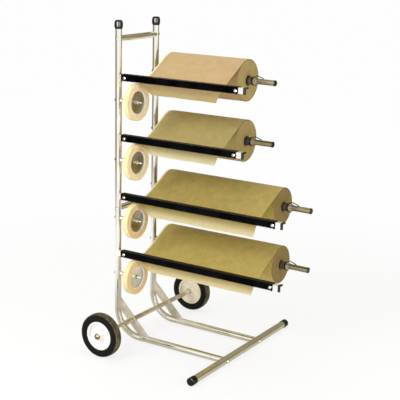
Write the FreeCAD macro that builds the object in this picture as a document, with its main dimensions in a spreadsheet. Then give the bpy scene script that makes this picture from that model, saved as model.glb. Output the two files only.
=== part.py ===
import FreeCAD, Part
import math
import os
import Sketcher
from FreeCAD import Rotation, Vector

# Mobile dispenser for four rolls of masking paper and four rolls of tape.
# Two bent steel tubes stand side by side: the far one carries the paper shafts,
# the near one the cutter bars and the tape hubs. All lengths are in millimetres.
# X runs along the paper rolls, Y from the near tube to the far one, Z upwards.
# The origin is on the floor, at the centre of the whole outline.

UNITS = (1, 2, 3, 4)
QUARTER = 90

DRIVING = (
    # bent frame tubes, 7/8 inch
    ("tube_od", 22.2),
    ("tube_wall", 1.6),
    ("edge_bevel", 1),
    ("upright_gap", 216),
    ("tube_top", 1113),
    ("bend_radius", 90),
    ("end_trim", 7),
    ("weld_gap", 0.1),
    # tubes that join the two sides
    ("crossbar_od", 20.6),
    ("top_bar_drop", 58),
    ("middle_bar_height", 472),
    ("ear_trim", 5),
    ("foot_od", 25.4),
    ("foot_axis", 447),
    ("foot_overhang", 211),
    ("plug_length", 18),
    ("plug_setback", 0.3),
    # plastic caps on the tube ends
    ("cap_fit", 0.1),
    ("foot_cap_wall", 1.2),
    ("foot_cap_length", 25),
    ("foot_cap_end", 2),
    ("top_cap_mouth", 0.7),
    ("top_cap_wall", 2),
    ("top_cap_length", 29),
    ("top_cap_end", 3),
    ("top_cap_bulge", 40),
    ("top_cap_shoulder", 5),
    ("top_cap_round", 6.5),
    ("cap_round", 3),
    # bolts through the tubes
    ("bolt_radius", 3.1),
    ("bolt_play", 0.2),
    ("bolt_head_radius", 5.8),
    ("bolt_head_height", 4),
    ("head_round", 7.5),
    # flat-oval braces at 45 degrees, with the axle through them
    ("brace_width", 31),
    ("brace_thick", 10),
    ("brace_wall", 1.6),
    ("brace_drop", 3.1),
    ("brace_into_tube", 3),
    ("brace_round_share", 0.48),
    ("axle_x", 66),
    ("axle_od", 12.7),
    ("near_wheel_y", 182),
    ("far_wheel_y", 379),
    ("sleeve_wall", 1.7),
    ("near_sleeve_wall", 2.6),
    ("near_sleeve_length", 45),
    ("axle_cap_radius", 9),
    ("axle_cap_length", 7),
    ("axle_cap_end", 2.5),
    ("washer_radius", 11.5),
    ("washer_thick", 1.6),
    # wheels, 6 inch
    ("wheel_radius", 76.2),
    ("tyre_half", 19),
    ("tyre_seat_half", 15),
    ("crown_half", 11),
    ("crown_drop", 1.4),
    ("belly_radius", 61),
    ("side_round", 15),
    ("shoulder_round", 14),
    ("hub_radius", 50),
    ("hub_rim_half", 14),
    ("hub_rim_wall", 5),
    ("hub_web_half", 4),
    ("hub_boss_radius", 12),
    ("hub_boss_root", 15),
    ("hub_rim_draft", 2),
    ("hub_half", 19.5),
    ("running_gap", 0.08),
    ("side_gap", 0.3),
    # cutting units, the lowest one first
    ("low_unit_height", 311),
    ("unit_pitch", 205.4),
    # paper shafts, 3/4 inch, and their rolls of 12 and 18 inches
    ("shaft_od", 19.05),
    ("shaft_wall", 1.6),
    ("shaft_start", 4),
    ("short_shaft_end", 479),
    ("long_shaft_end", 632.5),
    ("shaft_cap_lip", 0.6),
    ("shaft_cap_head", 4),
    ("shaft_cap_round", 2.5),
    ("shaft_cap_spigot", 14),
    ("stop_radius", 12.5),
    ("stop_length", 4),
    ("roll_start", 72),
    ("short_roll", 304.8),
    ("long_roll", 457.2),
    ("roll_radius_1", 70.7),
    ("roll_radius_2", 71.7),
    ("roll_radius_3", 63.7),
    ("roll_radius_4", 65.3),
    ("core_bore", 28),
    ("core_wall", 3),
    ("core_proud", 1),
    ("bush_flange_radius", 17),
    ("bush_flange", 3),
    ("bush_length", 25),
    # drag spring, washer, stop collar and hitch pin that hold a roll on its shaft
    ("spring_radius", 12.5),
    ("spring_wire", 2.4),
    ("spring_turns", 4),
    ("spring_gap", 1.1),
    ("spring_seat", 0.35),
    ("drag_washer_radius", 15.5),
    ("drag_washer", 3),
    ("collar_radius", 13.5),
    ("collar_length", 10),
    ("hitch_wire", 3.2),
    ("hitch_below", 3),
    ("hitch_lift", 0.5),
    ("hitch_bend", 5),
    ("hitch_droop", 17.5),
    ("hitch_rest", 0.2),
    # tape rolls of 3/4 inch tape on 3 inch cores
    ("tape_drop", 78.5),
    ("low_tape_drop", 75),
    ("tape_radius", 62),
    ("tape_width", 19),
    ("tape_start", 65),
    ("tape_core_bore", 76.2),
    ("tape_core_wall", 2.4),
    ("tape_core_short", 0.5),
    ("tape_edge", 0.5),
    ("hub_fit", 0.15),
    ("tape_rim_wall", 3),
    ("tape_rim_inset", 1.5),
    ("tape_disc_recess", 8),
    ("tape_disc", 3),
    ("tape_boss_radius", 8),
    ("tape_boss_proud", 2),
    ("tape_hub_draft", 1),
    ("spindle_radius", 3.25),
    ("spindle_end", 97),
    ("spindle_shoulder_radius", 6.5),
    ("spindle_thread", 14),
    ("spindle_thread_end", 1),
    # cutter bars: a steel angle under a toothed angle blade, screwed to its front
    ("bar_start", 6),
    ("bar_rise", 10),
    ("bar_height", 19),
    ("bar_depth", 19),
    ("bar_thick", 2),
    ("bar_corner", 8),
    ("short_bar_end", 498),
    ("long_bar_end", 648),
    ("bar_cap_wall", 1),
    ("bar_cap_length", 8),
    ("blade_start", 19.5),
    ("blade_setback", 26),
    ("blade_thick", 2),
    ("blade_height", 23.6),
    ("tooth_pitch", 5),
    ("tooth_depth", 3),
    ("notch_overrun", 0.06),
    ("screw_left_inset", 12.5),
    ("screw_right_inset", 9.5),
    ("screw_drop", 10.5),
    ("screw_radius", 2.5),
    ("screw_head_radius", 6),
    ("screw_head_height", 3),
    ("screw_head_round", 7.5),
    ("screw_tail", 3),
    ("screw_play", 0.1),
    # paper that has been drawn off each roll, over the tape and under the bar
    ("web_thick", 0.8),
    ("web_gap", 0.4),
    ("web_lead", 2),
    ("tape_side_end", 87),
    ("full_lip_start", 130),
    ("rear_fold_y", 84),
    ("rear_fold_rise", 6),
    ("rear_fold_round", 30),
    ("lip_fold_y", 38),
    ("lip_fold_drop", 23),
    ("lip_fold_round", 25),
    ("lip_end_y", 16),
    ("lip_drop_1", 51),
    ("lip_drop_2", 50),
    ("lip_drop_3", 60),
    ("lip_drop_4", 53),
    ("tape_contact_y", 22),
    ("tape_contact_round", 12),
    ("tape_edge_y", 2),
)

DERIVED = [
    ("tube_radius", "=dim.tube_od / 2"),
    ("tube_bore", "=dim.tube_od / 2 - dim.tube_wall"),
    ("crossbar_radius", "=dim.crossbar_od / 2"),
    ("top_bar_height", "=dim.tube_top - dim.top_bar_drop"),
    ("foot_radius", "=dim.foot_od / 2"),
    ("foot_height", "=dim.foot_od / 2 + dim.cap_fit + dim.foot_cap_wall"),
    ("shaft_radius", "=dim.shaft_od / 2"),
    ("axle_radius", "=dim.axle_od / 2"),
    ("brace_half", "=dim.brace_thick / 2"),
    ("brace_mid_x", "=dim.axle_x - dim.brace_drop"),
    ("brace_mid_z", "=dim.wheel_radius - dim.brace_drop"),
    ("roll_core_radius", "=dim.core_bore / 2 + dim.core_wall"),
    ("tape_core_radius", "=dim.tape_core_bore / 2"),
    ("screw_height", "=dim.bar_rise - dim.screw_drop"),
    ("spring_pitch", "=dim.spring_wire + dim.spring_gap"),
    ("spring_start", "=dim.core_proud + dim.bush_flange + dim.spring_seat"),
    ("collar_reach", "=dim.core_proud + dim.bush_flange + 2 * dim.spring_seat + dim.spring_wire"
                     " + dim.spring_turns * (dim.spring_wire + dim.spring_gap)"
                     " + dim.drag_washer + dim.side_gap"),
    ("tape_height_1", "=dim.low_unit_height + 3 * dim.unit_pitch - dim.tape_drop"),
    ("tape_height_2", "=dim.low_unit_height + 2 * dim.unit_pitch - dim.tape_drop"),
    ("tape_height_3", "=dim.low_unit_height + dim.unit_pitch - dim.tape_drop"),
    ("tape_height_4", "=dim.low_unit_height - dim.low_tape_drop"),
    ("centre_x", "=(dim.long_bar_end + dim.cap_fit + dim.bar_cap_wall"
                 " - dim.tube_od / 2 - dim.weld_gap - dim.bolt_head_height) / 2"),
    ("centre_y", "=dim.upright_gap / 2"),
]
for unit in UNITS:
    size = "short" if unit < 3 else "long"
    DERIVED += [
        (f"unit_height_{unit}", f"=dim.low_unit_height + {4 - unit} * dim.unit_pitch"),
        (f"roll_length_{unit}", f"=dim.{size}_roll"),
        (f"roll_end_{unit}", f"=dim.roll_start + dim.{size}_roll"),
        (f"shaft_end_{unit}", f"=dim.{size}_shaft_end"),
        (f"bar_end_{unit}", f"=dim.{size}_bar_end"),
        (f"blade_end_{unit}", f"=dim.{size}_bar_end - dim.blade_setback"),
    ]

doc = FreeCAD.newDocument("masking_paper_dispenser")
nodes = []


def fill_sheet(name, cells):
    """One row per size: its name in column A, its value or formula in column B."""
    sheet = doc.addObject("Spreadsheet::Sheet", name)
    for row, (alias, content) in enumerate(cells, 1):
        sheet.set(f"A{row}", alias)
        sheet.set(f"B{row}", str(content))
        sheet.setAlias(f"B{row}", alias)
    doc.recompute()
    return sheet


dim = fill_sheet("dim", DRIVING)
place = fill_sheet("place", DERIVED)


def value(formula):
    return float(dim.evalExpression(formula))


def new_body(label):
    body = doc.addObject("PartDesign::Body", label)
    body.Label = label
    return body


def sketch_on(body, role):
    """An empty sketch on one of the body's own origin planes."""
    sketch = body.newObject("Sketcher::SketchObject", f"{body.Label}_sketch")
    plane = next(item for item in body.Origin.OriginFeatures if item.Role == role)
    sketch.AttachmentSupport = [(plane, "")]
    sketch.MapMode = "FlatFace"
    return sketch


def constrain(sketch, kind, *where, formula):
    index = sketch.addConstraint(Sketcher.Constraint(kind, *where, value(formula)))
    sketch.setExpression(f"Constraints[{index}]", formula)


def fix_point(sketch, geometry, end, across, up):
    constrain(sketch, "DistanceX", -1, 1, geometry, end, formula=across)
    constrain(sketch, "DistanceY", -1, 1, geometry, end, formula=up)


def add_circle(sketch, across, up, radius):
    centre = Vector(value(across), value(up), 0)
    geometry = sketch.addGeometry(Part.Circle(centre, Vector(0, 0, 1), value(radius)))
    fix_point(sketch, geometry, 3, across, up)
    constrain(sketch, "Radius", geometry, formula=radius)


def add_arc(sketch, first, last, radius, turn):
    """A short arc from first to last; turn is 1 for leftwards, -1 for rightwards."""
    chord = last - first
    height = math.sqrt(max(radius ** 2 - (chord.Length / 2) ** 2, 0))
    aside = Vector(-chord.y, chord.x, 0).normalize()
    centre = (first + last) / 2 + aside * height * turn
    start, end = (first, last) if turn > 0 else (last, first)
    low = math.atan2(start.y - centre.y, start.x - centre.x)
    high = math.atan2(end.y - centre.y, end.x - centre.x)
    if high < low:
        high += 2 * math.pi
    circle = Part.Circle(centre, Vector(0, 0, 1), radius)
    geometry = sketch.addGeometry(Part.ArcOfCircle(circle, low, high))
    return geometry, (1, 2) if turn > 0 else (2, 1)


def trace(sketch, points, closed=True):
    """Lines and arcs from point to point. A point is (across, up), and where an arc
    leaves it also (radius, turn); every size is a formula on the sheets."""
    spots = [Vector(value(point[0]), value(point[1]), 0) for point in points]
    edges = []
    for index in range(len(points) if closed else len(points) - 1):
        point = points[index]
        after = spots[(index + 1) % len(points)]
        if len(point) == 2:
            edges.append((sketch.addGeometry(Part.LineSegment(spots[index], after)), (1, 2)))
        else:
            edges.append(add_arc(sketch, spots[index], after, value(point[2]), point[3]))
    for index, (geometry, (start, end)) in enumerate(edges):
        fix_point(sketch, geometry, start, *points[index][:2])
        if index + 1 < len(edges) or closed:
            follower, ends = edges[(index + 1) % len(edges)]
            sketch.addConstraint(Sketcher.Constraint("Coincident", geometry, end, follower, ends[0]))
        else:
            fix_point(sketch, geometry, end, *points[-1][:2])
        if len(points[index]) > 2:
            constrain(sketch, "Radius", geometry, formula=points[index][2])


def turned(label, axis, points):
    """A turned piece. Points are (along the axis, radius), then any arc."""
    body = new_body(label)
    role = {"X": "XY_Plane", "Y": "YZ_Plane", "Z": "XZ_Plane"}[axis]
    sketch = sketch_on(body, role)
    if axis == "Z":
        points = [(point[1], point[0], *flip_turn(point[2:])) for point in points]
    trace(sketch, points)
    turning = body.newObject("PartDesign::Revolution", f"{label}_turning")
    turning.Profile = sketch
    turning.ReferenceAxis = (sketch, ["V_Axis" if axis == "Z" else "H_Axis"])
    turning.Angle = 360
    return body


def flip_turn(arc):
    """The same arc after its two coordinates have changed places."""
    return (arc[0], -arc[1]) if arc else ()


def pad(body, sketch, length, reverse=False, midplane=False):
    feature = body.newObject("PartDesign::Pad", f"{body.Label}_pad")
    feature.Profile = sketch
    feature.setExpression("Length", length)
    feature.Reversed = reverse
    feature.Midplane = midplane
    return feature


def cut_through(body, sketch, both_ways=True):
    """A pocket that runs right through the piece from its sketch."""
    pocket = body.newObject("PartDesign::Pocket", f"{body.Label}_pocket")
    pocket.Profile = sketch
    pocket.Type = "ThroughAll"
    pocket.Midplane = both_ways
    return pocket


def drill(body, role, spots, radius):
    """Round holes square to one origin plane, at a list of (across, up)."""
    sketch = sketch_on(body, role)
    for across, up in spots:
        add_circle(sketch, across, up, radius)
    return cut_through(body, sketch)


def sweep(body, spine, profile):
    pipe = body.newObject("PartDesign::AdditivePipe", f"{body.Label}_sweep")
    pipe.Profile = profile
    pipe.Spine = (spine, [f"Edge{index + 1}" for index in range(spine.GeometryCount)])
    return pipe


def edge_near(shape, spot):
    """The name of the edge whose middle lies nearest to a point."""
    gaps = []
    for number, edge in enumerate(shape.Edges, 1):
        gaps.append(((edge.CenterOfMass - spot).Length, f"Edge{number}"))
    return min(gaps)[1]


def put(piece, x, y, z, turn=None):
    """Places a piece by formulas, in the frame of the near upright's foot."""
    piece.setExpression(".Placement.Base.x", f"{x} - place.centre_x")
    piece.setExpression(".Placement.Base.y", f"{y} - place.centre_y")
    piece.setExpression(".Placement.Base.z", z)
    if turn:
        piece.Placement = FreeCAD.Placement(piece.Placement.Base, turn)
    return piece


def keep(piece):
    nodes.append(piece)
    return piece


def group(label, pieces):
    """Like pieces kept in one node, each still a solid of its own."""
    compound = doc.addObject("Part::Compound", label)
    compound.Label = label
    compound.Links = pieces
    return keep(compound)


def feature(label, shape):
    """A shape made outright, moved to the common frame."""
    item = doc.addObject("Part::Feature", label)
    item.Label = label
    item.Shape = shape
    item.Placement.Base = Vector(-value("place.centre_x"), -value("place.centre_y"), 0)
    return item


BACKWARDS = Rotation(Vector(0, 0, 1), 2 * QUARTER)


def frame_tube(label, side, bolt_heights):
    """Upright, bend and leg of one length of tube. The body starts at the tube's top,
    its leg is coped to the cross foot and its holes lie along X and Y."""
    body = new_body(label)
    leg = "place.foot_height - dim.tube_top"
    spine = sketch_on(body, "XZ_Plane")
    trace(spine, [
        ("0", "0"),
        ("0", f"{leg} + dim.bend_radius", "dim.bend_radius", 1),
        ("dim.bend_radius", leg),
        ("dim.foot_axis - dim.end_trim", leg),
    ], closed=False)
    ring = sketch_on(body, "XY_Plane")
    add_circle(ring, "0", "0", "place.tube_radius")
    add_circle(ring, "0", "0", "place.tube_bore")
    sweep(body, spine, ring)
    cope = sketch_on(body, "XZ_Plane")
    add_circle(cope, "dim.foot_axis", leg, "place.foot_radius + dim.weld_gap")
    for height in ("place.top_bar_height", "dim.middle_bar_height"):
        add_circle(cope, "0", f"{height} - dim.tube_top", "dim.bolt_radius + dim.bolt_play")
    cut_through(body, cope)
    holes = [("0", f"{height} - dim.tube_top") for height in bolt_heights]
    drill(body, "YZ_Plane", holes, "dim.bolt_radius + dim.bolt_play")
    return keep(put(body, "0", side, "dim.tube_top"))


def crossbar(label, height):
    """A tube between the uprights, its ends coped round them."""
    body = new_body(label)
    ring = sketch_on(body, "XZ_Plane")
    add_circle(ring, "0", "0", "place.crossbar_radius")
    add_circle(ring, "0", "0", "place.crossbar_radius - dim.tube_wall")
    pad(body, ring, "dim.upright_gap - 2 * dim.ear_trim", midplane=True)
    ends = [("0", "dim.upright_gap / 2"), ("0", "-dim.upright_gap / 2")]
    drill(body, "XY_Plane", ends, "place.tube_radius + dim.weld_gap")
    return keep(put(body, "0", "place.centre_y", height))


def bolt_points(head_radius, head_height, head_round, length, radius):
    """A domed head below zero and a plain shank from zero up to its length."""
    return [
        ("0", "0"),
        (f"-{head_height}", "0"),
        (f"-{head_height}", f"{head_radius} / 2", head_round, -1),
        ("0", head_radius),
        ("0", radius),
        (length, radius),
        (length, "0"),
    ]


def plain_ring(label, axis, length, inner, outer):
    return turned(label, axis, [("0", inner), ("0", outer), (length, outer), (length, inner)])


def crossbar_bolts():
    """A tie bolt through each crossbar, with its nut on the far upright."""
    pieces = []
    reach = "dim.upright_gap + place.tube_radius + dim.weld_gap"
    for name, height in (("top", "place.top_bar_height"), ("middle", "dim.middle_bar_height")):
        outline = bolt_points(
            "dim.bolt_head_radius", "dim.bolt_head_height", "dim.head_round",
            f"{reach} + place.tube_radius + dim.weld_gap + dim.bolt_head_height", "dim.bolt_radius")
        bolt = turned(f"{name}_tie_bolt", "Y", outline)
        pieces.append(put(bolt, "0", "-place.tube_radius - dim.weld_gap", height))
        nut = plain_ring(f"{name}_tie_nut", "Y", "dim.bolt_head_height",
                         "dim.bolt_radius + dim.cap_fit", "dim.bolt_head_radius")
        pieces.append(put(nut, "0", reach, height))
    return group("crossbar_bolts", pieces)


def cross_foot():
    """The front tube that lies across both legs, drilled for their bolts."""
    body = new_body("cross_foot")
    ring = sketch_on(body, "XZ_Plane")
    add_circle(ring, "0", "0", "place.foot_radius")
    add_circle(ring, "0", "0", "place.foot_radius - dim.tube_wall")
    pad(body, ring, "dim.upright_gap + 2 * dim.foot_overhang", midplane=True)
    spots = [("dim.upright_gap / 2", "0"), ("-dim.upright_gap / 2", "0")]
    drill(body, "YZ_Plane", spots, "dim.bolt_radius + dim.bolt_play")
    return keep(put(body, "dim.foot_axis", "place.centre_y", "place.foot_height"))


def end_cap(label, axis, tube_radius, wall, length, end):
    """A cup pushed over a tube end; zero is its mouth."""
    outer = f"{tube_radius} + dim.cap_fit + {wall}"
    return turned(label, axis, [
        ("0", f"{tube_radius} + dim.cap_fit"),
        ("0", outer),
        (f"{length} - dim.cap_round", outer, "dim.cap_round", -1),
        (length, f"{outer} - dim.cap_round"),
        (length, "0"),
        (f"{length} - {end}", "0"),
        (f"{length} - {end}", f"{tube_radius} + dim.cap_fit"),
    ])


def foot_caps():
    reach = "dim.foot_overhang + dim.foot_cap_end + dim.cap_fit - dim.foot_cap_length"
    sizes = ("place.foot_radius", "dim.foot_cap_wall", "dim.foot_cap_length", "dim.foot_cap_end")
    near = end_cap("near_foot_cap", "Y", *sizes)
    far = end_cap("far_foot_cap", "Y", *sizes)
    put(near, "dim.foot_axis", f"-({reach})", "place.foot_height", BACKWARDS)
    put(far, "dim.foot_axis", f"dim.upright_gap + {reach}", "place.foot_height")
    return group("foot_caps", [near, far])


def upright_cap(label, side):
    """A smooth rubber cap, bulged along its side, with a rounded shoulder."""
    bore = "place.tube_radius + dim.cap_fit"
    outer = f"{bore} + dim.top_cap_wall"
    cap = turned(label, "Z", [
        ("0", bore),
        ("0", f"{bore} + dim.top_cap_mouth", "dim.top_cap_bulge", -1),
        ("dim.top_cap_length - dim.top_cap_shoulder", outer, "dim.top_cap_round", -1),
        ("dim.top_cap_length", f"{outer} - dim.top_cap_shoulder"),
        ("dim.top_cap_length", "0"),
        ("dim.top_cap_length - dim.top_cap_end", "0"),
        ("dim.top_cap_length - dim.top_cap_end", bore),
    ])
    height = "dim.tube_top + dim.top_cap_end + dim.cap_fit - dim.top_cap_length"
    return put(cap, "0", side, height)


def leg_fastening():
    """A threaded plug in each leg end, and the bolt that pulls the foot against it."""
    plugs = []
    bolts = []
    plug_end = "dim.foot_axis - place.foot_radius - dim.plug_setback"
    head = "dim.foot_axis + place.foot_radius + dim.weld_gap"
    for name, side in (("near", "0"), ("far", "dim.upright_gap")):
        plug = plain_ring(f"{name}_leg_plug", "X", "dim.plug_length",
                          "dim.bolt_radius + dim.weld_gap", "place.tube_bore - dim.weld_gap")
        plugs.append(put(plug, f"{plug_end} - dim.plug_length", side, "place.foot_height"))
        bolt = turned(f"{name}_foot_bolt", "X", bolt_points(
            "dim.bolt_head_radius", "dim.bolt_head_height", "dim.head_round",
            f"{head} - ({plug_end}) + dim.plug_length", "dim.bolt_radius"))
        bolts.append(put(bolt, head, side, "place.foot_height", BACKWARDS))
    group("leg_plugs", plugs)
    return group("foot_bolts", bolts)


def brace_blank(label, inset):
    """A strip at 45 degrees with rounded edges, in its own leg's plane. Its middle is
    the body's origin; inset draws all its faces in, for the hollow of the tube."""
    body = new_body(label)
    half = f"(dim.brace_width / 2 - {inset}) * sqrt(2)"
    left = "dim.brace_into_tube - place.brace_mid_x"
    low = "place.foot_height + dim.brace_into_tube - place.brace_mid_z"
    strip = sketch_on(body, "XZ_Plane")
    trace(strip, [
        (left, f"-({left}) - {half}"),
        (f"-({low}) - {half}", low),
        (f"-({low}) + {half}", low),
        (left, f"-({left}) + {half}"),
    ])
    blank = pad(body, strip, f"dim.brace_thick - 2 * {inset}", midplane=True)
    doc.recompute()
    thick = value(f"dim.brace_thick - 2 * {inset}") / 2
    middle = value(half) / 2
    slant = (value(low) - value(left)) / 2
    names = []
    for sign in (1, -1):
        for depth in (thick, -thick):
            spot = Vector(sign * middle - slant, depth, sign * middle + slant)
            names.append(edge_near(blank.Shape, spot))
    rounding = body.newObject("PartDesign::Fillet", f"{label}_rounding")
    rounding.Base = (blank, names)
    rounding.setExpression("Radius", f"(dim.brace_thick - 2 * {inset}) * dim.brace_round_share")
    return put(body, "place.brace_mid_x", "0", "place.brace_mid_z")


def tool_cylinder(label, radius, height, direction):
    tool = doc.addObject("Part::Cylinder", label)
    tool.Label = label
    tool.setExpression("Radius", radius)
    tool.setExpression("Height", height)
    tool.Placement.Rotation = Rotation(Vector(0, 0, 1), direction)
    return tool


def brace(label, side):
    """A flattened tube from upright to leg, coped at both ends, bored for the axle."""
    outer = brace_blank(f"{label}_outside", "0")
    inner = brace_blank(f"{label}_hollow", "dim.brace_wall")
    for blank in (outer, inner):
        blank.setExpression(".Placement.Base.y", f"{side} - place.centre_y")
    cope = "place.tube_radius + dim.weld_gap"
    upright = tool_cylinder(f"{label}_upright_cope", cope, "dim.tube_top", Vector(0, 0, 1))
    put(upright, "0", side, "0")
    leg = tool_cylinder(f"{label}_leg_cope", cope, "dim.foot_axis", Vector(1, 0, 0))
    put(leg, "0", side, "place.foot_height")
    bore = tool_cylinder(f"{label}_axle_bore", "place.axle_radius + dim.weld_gap",
                         "2 * dim.brace_thick", Vector(0, 1, 0))
    put(bore, "dim.axle_x", f"{side} - dim.brace_thick", "dim.wheel_radius")
    tools = doc.addObject("Part::Compound", f"{label}_cuts")
    tools.Links = [upright, leg, bore]
    shell = doc.addObject("Part::Cut", f"{label}_shell")
    shell.Base = outer
    shell.Tool = inner
    cut = doc.addObject("Part::Cut", label)
    cut.Label = label
    cut.Base = shell
    cut.Tool = tools
    return keep(cut)


def axle():
    """The rod, its sleeves, the washers beside the wheels and the caps on its ends."""
    past_hub = "dim.hub_half + 2 * dim.side_gap + dim.washer_thick"
    rod_end = f"{past_hub} + dim.axle_cap_length - dim.axle_cap_end - dim.side_gap"
    rod_length = f"dim.near_wheel_y + dim.far_wheel_y + 2 * ({rod_end})"
    rod = turned("axle_rod", "Y", [
        ("0", "0"),
        ("0", "place.axle_radius - dim.edge_bevel"),
        ("dim.edge_bevel", "place.axle_radius"),
        (f"{rod_length} - dim.edge_bevel", "place.axle_radius"),
        (rod_length, "place.axle_radius - dim.edge_bevel"),
        (rod_length, "0"),
    ])
    keep(put(rod, "dim.axle_x", f"-dim.near_wheel_y - ({rod_end})", "dim.wheel_radius"))

    bore = "place.axle_radius + dim.weld_gap"
    beside = "place.brace_half + dim.side_gap"
    centre = plain_ring("axle_centre_sleeve", "Y", f"dim.upright_gap - 2 * ({beside})",
                        bore, f"{bore} + dim.sleeve_wall")
    near = plain_ring("axle_near_sleeve", "Y", "dim.near_sleeve_length",
                      bore, f"{bore} + dim.near_sleeve_wall")
    far_end = f"dim.far_wheel_y - ({past_hub})"
    far = plain_ring("axle_far_sleeve", "Y", f"{far_end} - dim.upright_gap - ({beside})",
                     bore, f"{bore} + dim.sleeve_wall")
    put(centre, "dim.axle_x", beside, "dim.wheel_radius")
    put(near, "dim.axle_x", f"-({beside}) - dim.near_sleeve_length", "dim.wheel_radius")
    put(far, "dim.axle_x", f"dim.upright_gap + {beside}", "dim.wheel_radius")
    group("axle_sleeves", [centre, near, far])

    washers = []
    caps = []
    for name, middle, outward in (("near", "-dim.near_wheel_y", -1), ("far", "dim.far_wheel_y", 1)):
        for side, sign in (("outer", outward), ("inner", -outward)):
            washer = plain_ring(f"{name}_{side}_washer", "Y", "dim.washer_thick", bore, "dim.washer_radius")
            edge = "dim.side_gap" if sign > 0 else "-dim.side_gap - dim.washer_thick"
            hub_end = "dim.hub_half" if sign > 0 else "-dim.hub_half"
            washers.append(put(washer, "dim.axle_x", f"{middle} + {hub_end} + {edge}", "dim.wheel_radius"))
        cap = end_cap(f"{name}_axle_cap", "Y", "place.axle_radius",
                      "dim.axle_cap_radius - place.axle_radius - dim.cap_fit",
                      "dim.axle_cap_length", "dim.axle_cap_end")
        reach = past_hub if outward > 0 else f"-({past_hub})"
        put(cap, "dim.axle_x", f"{middle} + {reach}", "dim.wheel_radius", BACKWARDS if outward < 0 else None)
        caps.append(cap)
    group("wheel_washers", washers)
    return group("axle_caps", caps)


def mirrored(points):
    """The points and their mirror image across zero, as one closed outline. An arc
    that leaves a point on the way out enters its image on the way back."""
    back = []
    for index in range(len(points) - 1, -1, -1):
        along, radius = points[index][:2]
        arc = points[index - 1][2:] if index else ()
        back.append((f"-({along})", radius, *arc))
    return list(points) + back


def wheel(name, middle):
    """A solid rubber tyre with a rounded tread on a dished hub."""
    crown = "dim.wheel_radius - dim.crown_drop"
    crown_round = "(dim.crown_half ^ 2 + dim.crown_drop ^ 2) / (2 * dim.crown_drop)"
    tyre = turned(f"{name}_wheel_tyre", "Y", mirrored([
        ("-dim.tyre_seat_half", "dim.hub_radius", "dim.side_round", -1),
        ("-dim.tyre_half", "dim.belly_radius", "dim.shoulder_round", -1),
        ("-dim.crown_half", crown, crown_round, -1),
    ]))
    keep(put(tyre, "dim.axle_x", middle, "dim.wheel_radius"))
    rim_inside = "dim.hub_radius - dim.hub_rim_wall"
    hub = turned(f"{name}_wheel_hub", "Y", mirrored([
        ("-dim.hub_half", "place.axle_radius + dim.running_gap"),
        ("-dim.hub_half", "dim.hub_boss_radius"),
        ("-dim.hub_web_half", "dim.hub_boss_root"),
        ("-dim.hub_web_half", f"{rim_inside} - dim.hub_rim_draft"),
        ("-dim.hub_rim_half", rim_inside),
        ("-dim.hub_rim_half", "dim.hub_radius - dim.weld_gap"),
    ]))
    return keep(put(hub, "dim.axle_x", middle, "dim.wheel_radius"))


def paper_shaft(unit):
    """A tube that stands out from the far upright, with a stop ring behind the roll
    and a cross hole for the hitch pin."""
    bush_start = "dim.roll_start - dim.core_proud - dim.bush_flange - dim.side_gap"
    body = turned(f"paper_shaft_{unit}", "X", [
        ("dim.shaft_start", "place.shaft_radius - dim.shaft_wall"),
        ("dim.shaft_start", "place.shaft_radius"),
        (f"{bush_start} - dim.stop_length", "place.shaft_radius"),
        (f"{bush_start} - dim.stop_length", "dim.stop_radius"),
        (bush_start, "dim.stop_radius"),
        (bush_start, "place.shaft_radius"),
        (f"place.shaft_end_{unit}", "place.shaft_radius"),
        (f"place.shaft_end_{unit}", "place.shaft_radius - dim.shaft_wall"),
    ])
    drill(body, "XY_Plane", [("0", "0")], "place.tube_radius + dim.weld_gap")
    hole = [(f"place.roll_end_{unit} + place.collar_reach + dim.collar_length / 2", "0")]
    drill(body, "XY_Plane", hole, "dim.hitch_wire / 2 + dim.weld_gap")
    return put(body, "0", "dim.upright_gap", f"place.unit_height_{unit}")


def shaft_fastening():
    """A threaded plug in each shaft's root, and the bolt through the upright."""
    plugs = []
    bolts = []
    start = "place.tube_radius + dim.weld_gap + dim.plug_setback"
    for unit in UNITS:
        height = f"place.unit_height_{unit}"
        plug = plain_ring(f"shaft_plug_{unit}", "X", "dim.plug_length",
                          "dim.bolt_radius + dim.weld_gap",
                          "place.shaft_radius - dim.shaft_wall - dim.weld_gap")
        plugs.append(put(plug, start, "dim.upright_gap", height))
        bolt = turned(f"shaft_bolt_{unit}", "X", bolt_points(
            "dim.bolt_head_radius", "dim.bolt_head_height", "dim.head_round",
            f"place.tube_radius + dim.weld_gap + {start} + dim.plug_length", "dim.bolt_radius"))
        bolts.append(put(bolt, "-place.tube_radius - dim.weld_gap", "dim.upright_gap", height))
    group("shaft_plugs", plugs)
    return group("shaft_bolts", bolts)


def shaft_cap(unit):
    """A plastic plug in the end of a shaft; zero is the face that meets the tube."""
    head = "place.shaft_radius + dim.shaft_cap_lip"
    spigot = "place.shaft_radius - dim.shaft_wall - dim.weld_gap"
    cap = turned(f"shaft_cap_{unit}", "X", [
        ("-dim.shaft_cap_spigot", "0"),
        ("-dim.shaft_cap_spigot", spigot),
        ("0", spigot),
        ("0", head),
        ("dim.shaft_cap_head - dim.shaft_cap_round", head, "dim.shaft_cap_round", -1),
        ("dim.shaft_cap_head", f"{head} - dim.shaft_cap_round"),
        ("dim.shaft_cap_head", "0"),
    ])
    reach = f"place.shaft_end_{unit} + dim.cap_fit"
    return put(cap, reach, "dim.upright_gap", f"place.unit_height_{unit}")


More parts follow.
